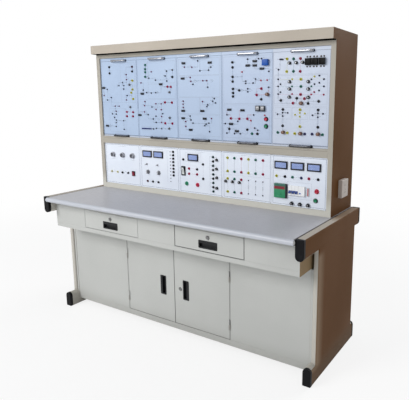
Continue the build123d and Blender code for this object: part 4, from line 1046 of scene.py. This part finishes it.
for number in range(1, 6):
    body = f"module_{number}"
    low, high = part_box(body + "_handles")
    heights = (low.z + rim_to_bar, high.z - rim_to_bar)
    wire = bpy.data.curves.new("bow", "CURVE")
    wire.dimensions, wire.bevel_depth, wire.bevel_resolution = "3D", bar, 5
    for z in heights:
        bow(wire, low.x, high.x, z)
    loose = bpy.data.objects.new("bow", wire)
    shape = bmesh.new()
    bent = bpy.data.meshes.new_from_object(loose)
    shape.from_mesh(bent)
    bpy.data.objects.remove(loose)
    bpy.data.meshes.remove(bent)
    bmesh.ops.holes_fill(shape, edges=[edge for edge in shape.edges if edge.is_boundary])
    bmesh.ops.recalc_face_normals(shape, faces=shape.faces)
    keep(body + "_bows", as_mesh(body + "_bows", shape, handle_chrome), body, "handle_chrome", [body + "_handles"])
    feet = [(x, module_y, z, black, 0.0, 1.0) for z in heights for x in (low.x + bar, high.x - bar)]
    collar = turned([(7.4, 0), (7.4, 2.6), (6.6, 3.4), (0, 3.4)], 20)
    stand(body + "_bow_feet", collar, feet, shared_plastic, (), body, "handle_chrome")


# Setting knobs: brown skirted knobs on the modules, with a pale pointer line across the cap.
# Each is pushed on its spindle, a hair clear of the plate.
def knob_shape(skirt, cap, height, ribs):
    """A fluted knob with a rounded skirt and a dished cap."""
    outline = [(skirt, 0), (skirt, 1.0), (skirt * 0.93, 1.8), (cap * 1.12, 2.8), (cap * 1.06, height - 1.6),
               (cap * 0.98, height - 0.4), (cap * 0.88, height), (cap * 0.8, height - 0.5), (0, height - 0.5)]
    return fluted(outline, ribs, cap, 0.5)


def stand_in(node, suffix, shape, tint, material):
    """Stands a finer shape in the place of a packed knob or button, on the same body."""
    low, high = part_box(node)
    place = ((low.x + high.x) / 2, high.y, (low.z + high.z) / 2, tint, 0.0, 1.0)
    stand(node + suffix, shape, [place], material, [node], body_of(node), slot_of(node))


knob_brown, place = finish("knob_brown", Specular_IOR_Level=0.5)
moulding = place.noise(300.0, 3.0)
brown_cap = moulding.blend(tone(94, 62, 46), tone(112, 76, 58))
feed(
    knob_brown,
    Base_Color=place.attribute("metal", 2).blend(brown_cap, tone(206, 200, 192)),
    Roughness=0.30 + moulding * 0.15,
    Normal=moulding.bump(0.00006, 0.4),
)
for knob in ("setpoint_knob", "load_knob_1", "load_knob_2", "load_knob_3", "load_knob_4"):
    low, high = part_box(knob)
    height = (high.y - low.y) * 1000
    shape = slab(knob_shape(9.9, 8.4, height - 0.3, 40), (-0.5, -height, 0.5), (0.5, 1 - height, 7.2), metal=1.0)
    stand_in(knob, "_cap", shape, brown, knob_brown)


# Push buttons: moulded caps with a dished face, each guided by a plated ring screwed to its plate.
# The rings are open in the middle, so a pressed cap sinks through.
button_paints = {
    name: clouded(name, (tint, darker(tint, 0.6)), 200.0, 3.0, 0.24, 0.14, 0.00004, Specular_IOR_Level=0.4)
    for name, tint in (("button_red", tone(190, 8, 56)), ("button_green", tone(0, 128, 84)))
}
for button in sorted(name for name in packed if name.endswith("_button")):
    low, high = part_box(button)
    radius, height = (high.x - low.x) * 500 - 0.1, (high.y - low.y) * 1000
    outline = [(radius * 0.97, 0), (radius, 0.6), (radius * 0.98, height - 2.0), (radius * 0.93, height - 0.6),
               (radius * 0.84, height), (radius * 0.70, height - 0.4), (radius * 0.35, height - 1.2),
               (0, height - 1.4)]
    paint = button_paints.get(slot_of(button), button_paints["button_green"])
    stand_in(button, "_cap", turned(outline, 40), red, paint)


def rings(name, centre, places, body="desk_and_console"):
    """Knurled ring nuts with rounded lips round the buttons of a panel, in the tint that each has."""
    outline = [(12.9, 0), (13.0, 0.8), (12.8, 2.6), (12.2, 4.2), (11.4, 5.0), (10.2, 5.0), (9.7, 4.6), (9.6, 0)]
    nuts = [spot for tint, x, z in places for spot in spots(centre, [(x, z)], tint)]
    stand(name, fluted(outline, 48, 12.2, 0.3, open_middle=True), nuts, bright_plastic, (), body)


rings("module_4_button_rings", link_x, [(black, 125, 1258), (black, 125, 1220)], "module_4")


# Motor leads' sockets on the first power panel: nickelled round connectors with threaded barrels.
# A black insulator inside carries five plated pins.
barrel = [(15.9, 0), (15.9, 2.2), (15.2, 3.0), (13.3, 3.1)]
for step in range(6):
    barrel += [(13.3, 3.6 + step * 1.6), (13.0, 4.4 + step * 1.6)]
barrel += [(12.9, 13.6), (12.5, 14.0), (11.4, 14.0), (11.1, 13.5), (11.1, 4.2), (11.05, 4.1), (0, 4.1)]
connector = turned(barrel, 36, 0, len(barrel) - 3)
for step in range(5):
    angle = math.tau * step / 5 + 0.3
    x, z = 6 * math.sin(angle), 6 * math.cos(angle)
    slab(connector, (x - 0.9, -10.5, z - 0.9), (x + 0.9, -3.5, z + 0.9), 0.3, 1.0)
connector_metal = moulded("connector_metal", 0.28, (170, 171, 177))
stand("motor_connector_shells", connector,
      spots(motor_x, [(-82, 995), (6, 995), (95, 995)], tone(128, 129, 136), 0.0, 1.1), connector_metal,
      ["motor_connectors"], slot="connector_metal")


# Sockets, fuses and guides of the power panels, in the colours of their circuits.
# They are the same parts as on the modules above.
link_columns = [-127 + 46.8 * step for step in range(6)]
link_tints = (yellow, green, red, yellow, green, red)
socket_rows = [
    (motor_x, tone(206, 202, 160), [(-105, 878), (-50, 878)]),
    (motor_x, black, [(-5, 878), (49, 878)]),
    (supply_x, tone(70, 10, 34), [(-103, 840)]),
    (supply_x, black, [(-58, 840), (-11, 840)] + [(117, 895 + 21 * step) for step in range(8)]),
    (output_x, black, [(-128, 1001), (-24, 948), (21, 981), (21, 894)]),
    (output_x, red, [(-85, 948), (-85, 916), (-24, 917)]),
    (output_x, tone(6, 54, 54), [(95, 825 + 51.2 * step) for step in range(5)]),
    (output_x, black, [(95, 850.6 + 51.2 * step) for step in range(4)]),
    (mains_x, yellow, [(-132, 956)]),
    (mains_x, black, [(-81, 956), (111, 956)]),
    (mains_x, green, [(-36, 956)]),
    (mains_x, dark_blue, [(15, 956)]),
    (mains_x, red, [(59, 956)]),
]
for column, (x, tint) in enumerate(zip(link_columns, link_tints)):
    rows = (1033, 956, 913, 836) if column < 3 else (1033, 956)
    socket_rows.append((link_x, tint, [(x, z) for z in rows]))
sockets = [spot for centre, tint, row in socket_rows for spot in spots(centre, row, tint, 0.0, 1.1)]
fuses = (
    spots(output_x, [(121, 1014), (120, 961), (121, 909), (121, 847)], fuse_black)
    + spots(link_x, [(x - 13, 896) for x in link_columns[:3]], fuse_black)
    + spots(mains_x, [(-37, 814), (11, 814), (58, 814)], fuse_black, 0.0, 1.2)
)
stand("panel_sockets", socket_shape(), sockets, shared_plastic, ["panel_terminals"])
stand("panel_fuses", fuse_shape(), fuses, bright_plastic, ["panel_terminals"])
rings("output_button_rings", output_x, [(tone(52, 160, 122), -105, 854), (tone(212, 62, 104), -22, 853)])
rings("mains_button_rings", mains_x, [(tone(190, 20, 60), 105, 892), (black, 100, 843)])
dots = spots(supply_x, [(92, 854 + 20.8 * step) for step in range(10)], pin_dark, 0.0, 0.8)
dots += spots(link_x, [(x, z) for x in link_columns[3:] for z in (913, 836)], pin_dark)
stand("panel_pins", pin_shape(), dots, bright_plastic)
corners = [(x, z) for x in (-0.805, -0.486, -0.163, 0.156, 0.480, 0.805) for z in (0.8015, 1.0665)]
stand("panel_screws", screw_shape(), [(x, panel_y, z, steel_grey, 0.3 * x, 0.9) for x, z in corners], bright_plastic)


# Digital meters: black moulded bezels clipped into the panel, each round a lit lavender display.
# Unlit segments show faintly behind the window.
def framed(width, height, outline):
    """A moulded rim of a rectangle, its section given as (inset, height) pairs, closed by its last ring."""
    shape = bmesh.new()
    shape.verts.layers.float.new("metal")
    rings_made = []
    for inset, depth in outline:
        x, z = (width / 2 - inset) / 1000, (height / 2 - inset) / 1000
        corners = ((-x, -z), (x, -z), (x, z), (-x, z))
        rings_made.append([shape.verts.new((a, -depth / 1000, b)) for a, b in corners])
    for lower, upper in zip(rings_made, rings_made[1:]):
        for step in range(4):
            after = (step + 1) % 4
            shape.faces.new((lower[step], lower[after], upper[after], upper[step]))
    shape.faces.new(rings_made[0][::-1])
    shape.faces.new(rings_made[-1])
    bmesh.ops.recalc_face_normals(shape, faces=shape.faces)
    return shape


meter_places = [
    spot for centre, xs in ((supply_x, (-98, -5)), (output_x, (-53,)), (mains_x, (-105, -8, 87)))
    for spot in spots(centre, [(x, 1017) for x in xs], tone(20, 22, 34))
]
rim = framed(77, 42, [(0, 0), (0, 5.6), (0.6, 6.6), (1.4, 7.0), (5.8, 7.0), (6.6, 6.6), (7.4, 4.8)])
stand("meter_bezels", rim, meter_places, moulded("meter_plastic", 0.34), ["panel_meters"], slot="meter_bezel")
display, place = finish("meter_display", Specular_IOR_Level=0.6, Roughness=0.12, Emission_Strength=0.22)
lavender = place.noise(24.0, 2.0).blend(tone(118, 138, 188), tone(146, 164, 208))
feed(display, Base_Color=lavender, Emission_Color=lavender)
pane = slab(bmesh.new(), (-31.1, -5.2, -13.6), (31.1, -4.6, 13.6), 0.2)
stand("meter_windows", pane, meter_places, display, slot="meter_bezel")
segments, segment = Drawing(0.0, panel_y - 0.0052), tone(80, 96, 150)
for x, _, z, *_ in meter_places:
    for digit in range(4):
        middle, level = x * 1000 + (digit - 1.5) * 13.8, z * 1000
        for side in (middle - 4.0, middle + 4.0):
            for foot in (level - 8.6, level + 0.6):
                segments.line(segment, 1.4, (side, foot), (side, foot + 8.0))
        for bar_z in (level - 9.2, level, level + 9.2):
            segments.line(segment, 1.4, (middle - 3.0, bar_z), (middle + 3.0, bar_z))
segments.keep("meter_segments", slot="meter_bezel")


# Rockers, toggles and the two supply knobs: moulded rockers in black snap-in frames, chromed toggle bats
# in threaded bushes, and satin grey knobs with a bar grip and a white pointer.
rocker_red = clouded("rocker_red", (tone(132, 14, 44), tone(80, 8, 30)), 180.0, 3.0, 0.22, 0.16, 0.00005, 0.3,
                     Specular_IOR_Level=0.5)
eased("motor_panel_rocker", rocker_red, 0.6, 3)
rocker_white, place = finish("rocker_white", Specular_IOR_Level=0.4)
rocker_x, rocker_z, half_wide, half_high, mark_wide, mark_high = output_x - 0.128, 0.931, 0.0080, 0.0215, 0.0016, 0.0100
x, _, z = place.axes()
across, up = abs(x - rocker_x), abs(z - rocker_z)
face = (across < half_wide) * (up < half_high) * (1.0 - (across < mark_wide) * (up < mark_high))
swirl = place.noise(180.0, 3.0)
feed(
    rocker_white,
    Base_Color=face.blend(tone(18, 26, 28), swirl.blend(tone(220, 224, 222), tone(204, 208, 208))),
    Roughness=0.26 + swirl * 0.16,
    Normal=(swirl * 0.2 + face).bump(0.0002),
)
eased("range_rocker", rocker_white, 0.8, 3)
frame_section = [(0, 0), (0, 5.0), (0.3, 5.7), (0.9, 6.0), (1.8, 6.0), (2.4, 5.5), (2.5, 0.2)]
for name, centre, x, z, width, height, tint in (
    ("motor_rocker_frame", motor_x, 98, 878, 25, 32, tone(34, 22, 26)),
    ("range_rocker_frame", output_x, -128, 931, 29, 57, black),
):
    stand(name, framed(width, height, frame_section), spots(centre, [(x, z)], tint), shared_plastic,
          ["panel_terminals"])
bush = [(6.6, 0), (6.6, 1.5), (6.2, 1.9), (5.0, 2.0)]
bush += [(5.0 - 0.25 * (step % 2), 2.5 + step * 0.6) for step in range(7)]
bush += [(4.6, 7.0), (3.3, 7.0), (3.05, 6.6), (3.0, 2.4), (0, 2.3)]
toggle_places = [(-105, 950), (-14, 950)]
stand("toggle_bushes", turned(bush, 24, 0, len(bush)), spots(supply_x, toggle_places, steel_grey), connector_metal,
      ["panel_terminals"])
bat = [(0, -2.1), (1.5, -1.5), (2.1, 0), (1.5, 1.5), (1.15, 2.5), (1.35, 8.0), (1.85, 12.6), (1.8, 14.0), (1.2, 14.8),
       (0, 15.0)]
for hand, place in zip(("left", "right"), toggle_places):
    lever = turned(bat, 20, 0, 9)
    bmesh.ops.rotate(lever, verts=lever.verts, matrix=Matrix.Rotation(math.radians(12), 3, "X"))
    toggle = hand + "_supply_toggle"
    stand(hand + "_toggle_bat", lever, spots(supply_x, [place], steel_grey, proud=0.0048), lock_chrome, [toggle],
          toggle, slot_of(toggle))
    grip = slab(knob_shape(13.9, 11.2, 5.8, 48), (-2.9, -16.9, -11.8), (2.9, -4.0, 11.8), 1.2, 1.0)
    slab(grip, (-0.5, -16.99, 2.0), (0.5, -16.8, 11.2))
    stand_in(hand + "_supply_knob", "_grip", grip, tone(122, 123, 128), bright_plastic)


# Mains gear: a three-pole breaker with tied blue levers, its leakage unit, and a phase relay.
# All are clipped to a rail behind the panel and come through one window in it.
breaker_plastic, place = finish("breaker_plastic", Specular_IOR_Level=0.45)
x = place.axes()[0]
grain = place.noise(700.0, 2.0)
first_pole_x, last_pole_x, pole_width = mains_x - 0.056, mains_x + 0.005, 0.020
pole_edge = 1.0 - ((x - first_pole_x) * (1 / pole_width)).maths("PINGPONG", 0.5).rise(0.0, 0.035)
line = pole_edge * (x < last_pole_x)
case = place.noise(30.0, 3.0).blend(tone(238, 239, 240), tone(228, 230, 232))
feed(
    breaker_plastic,
    Base_Color=(line * 0.75).blend(case, tone(90, 92, 96)),
    Roughness=0.38 + grain * 0.12,
    Normal=(grain * 0.4 - line).bump(0.0002, 0.5),
)
eased("breaker_body", breaker_plastic, 0.6, 3)
lever_blue = clouded("lever_plastic", (tone(14, 44, 112), tone(28, 66, 142)), 160.0, 4.0, 0.28, 0.18, 0.00005,
                     Specular_IOR_Level=0.5)
eased("breaker_lever", lever_blue, 0.9, 3)
relay_plastic, place = finish("relay_plastic", Specular_IOR_Level=0.45)
x, _, z = place.axes()
across = x - mains_x
grain = place.noise(500.0, 3.0)
above = z.rise(0.9026, 0.9030)
band = z.rise(0.8868, 0.8872) * (1.0 - above) * (1.0 - across.rise(-0.0745, -0.0741))
cells = (across * 180.0).maths("PINGPONG", 0.5).rise(0.12, 0.16)
case = above.blend(grain.blend(tone(26, 124, 82), tone(40, 140, 96)), tone(34, 92, 76))
case = band.blend(case, cells.blend(tone(86, 10, 26), tone(132, 14, 38)))
feed(
    relay_plastic,
    Base_Color=across.rise(-0.0722, -0.0718).blend(case, tone(26, 28, 34)),
    Roughness=0.30 + grain * 0.16 - band * 0.1,
    Normal=grain.bump(0.00006, 0.4),
)
eased("protection_relay", relay_plastic, 0.7, 3)
test_button = turned([(4.2, 0), (4.2, 1.2), (3.6, 1.8), (0, 1.6)], 24)
stand("leakage_test_button", test_button, spots(mains_x, [(14, 874)], tone(24, 76, 180), proud=0.0109), shared_plastic,
      slot="breaker_case")
block = slab(bmesh.new(), (-6.0, -5.0, -23.0), (6.0, 0.0, 23.0), 0.8)
stand("neutral_block", block, spots(mains_x, [(56, 884)], tone(196, 198, 200)), bright_plastic, ["panel_terminals"])
flag = slab(bmesh.new(), (-2.4, -5.6, -19.0), (2.4, -4.9, 19.0), 0.3)
stand("neutral_block_flag", flag, spots(mains_x, [(57, 884)], tone(190, 44, 60)), bright_plastic)
clamps = spots(mains_x, [(x, z) for x in (-46, -26, -6, 12, 24) for z in (863, 908)], steel_grey, 0.4, 0.5, 0.0072)
stand("breaker_clamps", screw_shape(), clamps, bright_plastic, slot="breaker_case")


# Screened lines of the power panels: a border on each, lines that join the sockets, and knob scales.
# A painted line marks the joint between the two folds of the middle rail.
drawing = Drawing(motor_x, panel_y, tone(208, 216, 228))
for centre in panel_centres:
    drawing.centre = centre
    drawing.box(-153, 805, 153, 1063, blue_ink, 1.4)
    drawing.line(grey_ink, 0.8, (-34, 1052), (34, 1052))
drawing.centre = motor_x
for left, right, tint in ((-105, -50, yellow), (-5, 12, ink), (32, 49, ink)):
    drawing.line(tint, 0.7, (left, 878), (right, 878))
drawing.line(ink, 0.7, (12, 878), (31, 889))
for x in (-82, 6, 95):
    drawing.line(grey_ink, 0.8, (x - 16, 965), (x + 16, 965))
drawing.centre = supply_x
for x in (-97, -6):
    drawing.dial(x, 901, 15.8)
for step in range(8):
    drawing.line(red_ink, 0.6, (92, 895 + 21 * step), (117, 895 + 21 * step))
drawing.line(grey_ink, 0.6, (76, 850), (66, 850), (66, 1046), (76, 1046))
drawing.line(ink, 0.6, (-103, 840), (-11, 840))
drawing.centre = output_x
for z in (948, 916):
    drawing.line(red_ink, 0.7, (-85, z), (-24, z))
drawing.line(ink, 0.7, (95, 1030), (70, 1030), (70, 825), (95, 825))
for step in range(1, 8):
    drawing.line(ink, 0.7, (70, 825 + 25.6 * step), (95, 825 + 25.6 * step))
for z, near in ((1014, 1030), (961, 978.6), (909, 927.4), (847, 850.6)):
    drawing.line(ink, 0.7, (95, near), (121, near), (121, z))
drawing.line(grey_ink, 0.7, (21, 981), (21, 894))
drawing.box(-112, 1044, 6, 990)
drawing.centre = link_x
for column, (x, tint) in enumerate(zip(link_columns, link_tints)):
    drawing.line(ink if column % 3 == 1 else tint, 0.7, (x, 1033), (x, 956))
    drawing.line(ink, 0.6, (x, 913), (x, 836))
    if column >= 3:
        drawing.resistor(x, 874, 5.0, 18.0)
drawing.line(grey_ink, 0.5, (-148, 936), (148, 936))
drawing.centre = mains_x
for left in (-132, -36, 59):
    for start in (left + 10, left + 22, left + 34):
        drawing.line(ink, 0.8, (start, 956), (start + 7, 956))
drawing.box(-68, 842, 74, 930)
drawing.keep("power_panel_print")
joint = Drawing(0.0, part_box("console_frame")[0].y)
joint.line(tone(112, 101, 86), 1.3, (-806, 1105), (806, 1105))
joint.keep("middle_rail_joint", slot=slot_of("console_frame"))


# Socket outlet box screwed to the console's right side: a moulded case with a universal outlet.
# Its holes and slots face outwards.
box_plastic, place = finish("box_plastic", Specular_IOR_Level=0.35)
grain = place.noise(600.0, 3.0)
feed(
    box_plastic,
    Base_Color=place.noise(14.0, 3.0).blend(tone(190, 180, 172), tone(178, 168, 160)),
    Roughness=0.42 + grain * 0.12,
    Normal=grain.bump(0.00008, 0.4),
)
eased("side_socket_box", box_plastic, 1.2, 3)
low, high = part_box("side_socket_box")
outlet = bmesh.new()
for x, z, wide, lean in ((-9.5, 18, 2.2, 0.0), (9.5, 18, 2.2, 0.0), (0, -6, 2.2, 0.0), (-8.5, -20, 2.0, 0.5),
                         (8.5, -20, 2.0, -0.5)):
    slab(outlet, (-wide / 2, -0.25, -3.25), (wide / 2, 0.4, 3.25), turn=lean)
    bmesh.ops.translate(outlet, verts=list(outlet.verts)[-8:], vec=Vector((x, 0, z)) / 1000)
bmesh.ops.rotate(outlet, verts=outlet.verts, matrix=Matrix.Rotation(math.radians(90), 3, "Z"))
stand("outlet_slots", outlet, [(high.x, (low.y + high.y) / 2, (low.z + high.z) / 2, tone(22, 20, 20), 0.0, 1.0)],
      shared_plastic, slot="socket_box_plastic")


# Studio: a pale floor and white surroundings that the camera and the metal see, with soft lamps
# above the user's left shoulder, a weak fill from the right and one behind for the back.
def seen_by(tree):
    """1 for the rays that should meet plain white: from the camera, mirrored, or let through."""
    rays = tree.nodes.new("ShaderNodeLightPath").outputs
    camera, mirrored, through = (Wire(tree, rays[f"Is {kind} Ray"]) for kind in ("Camera", "Glossy", "Transmission"))
    return camera.maths("MAXIMUM", mirrored).maths("MAXIMUM", through)


def mix_in(tree, share, plain, kind, output):
    """Mixes a plain white emission or background into what a tree's output gets."""
    glow = plain.node(kind, {}, {"Color": (1.0, 1.0, 1.0, 1.0), "Strength": 1.0})
    mixed = plain.node("ShaderNodeMixShader", {}, {0: share, 1: plain, 2: glow})
    tree.links.new(mixed.socket, tree.nodes[output].inputs["Surface"])


scene.world = bpy.data.worlds.new("studio")
scene.world.use_nodes = True
sky = scene.world.node_tree
room = sky.nodes["Background"]
room.inputs["Color"].default_value = (0.95, 0.975, 1.0, 1.0)
room.inputs["Strength"].default_value = 0.40
mix_in(sky, seen_by(sky), Wire(sky, room.outputs[0]), "ShaderNodeBackground", "World Output")

floor_paint, place = finish("floor_paint", Roughness=0.8, Specular_IOR_Level=0.1)
feed(floor_paint, Base_Color=place.noise(3.0, 3.0).blend(tone(238, 238, 238), tone(244, 244, 244)))
floor_tree = floor_paint.node_tree
far = place.node("ShaderNodeVectorMath", {"operation": "LENGTH"}, {0: place}, 1).rise(1.6, 4.5)
lit = Wire(floor_tree, floor_tree.nodes["Principled BSDF"].outputs[0])
mix_in(floor_tree, seen_by(floor_tree) * (0.80 + far * 0.20), lit, "ShaderNodeEmission", "Material Output")
floor_shape = bmesh.new()
bmesh.ops.create_circle(floor_shape, cap_ends=True, radius=14.0, segments=96)
studio_floor = bpy.data.objects.new("studio_floor", as_mesh("studio_floor", floor_shape, floor_paint))
studio_floor.data.transform(Matrix.Translation((0.0, 0.0, -0.0002)))
scene.collection.objects.link(studio_floor)

for name, place, aim, power, width in (
    ("key_lamp", (-2.2, -4.4, 3.1), (0.0, 0.0, 0.9), 205.0, 2.6),
    ("fill_lamp", (4.6, -2.6, 2.4), (0.0, 0.0, 0.9), 22.0, 3.0),
    ("back_lamp", (1.5, 4.2, 3.6), (0.0, 0.3, 1.0), 130.0, 2.6),
):
    light = bpy.data.lights.new(name, "AREA")
    light.shape, light.size, light.energy = "SQUARE", width, power
    holder = bpy.data.objects.new(name, light)
    holder.location = place
    holder.rotation_euler = (Vector(aim) - Vector(place)).to_track_quat("-Z", "Y").to_euler()
    scene.collection.objects.link(holder)
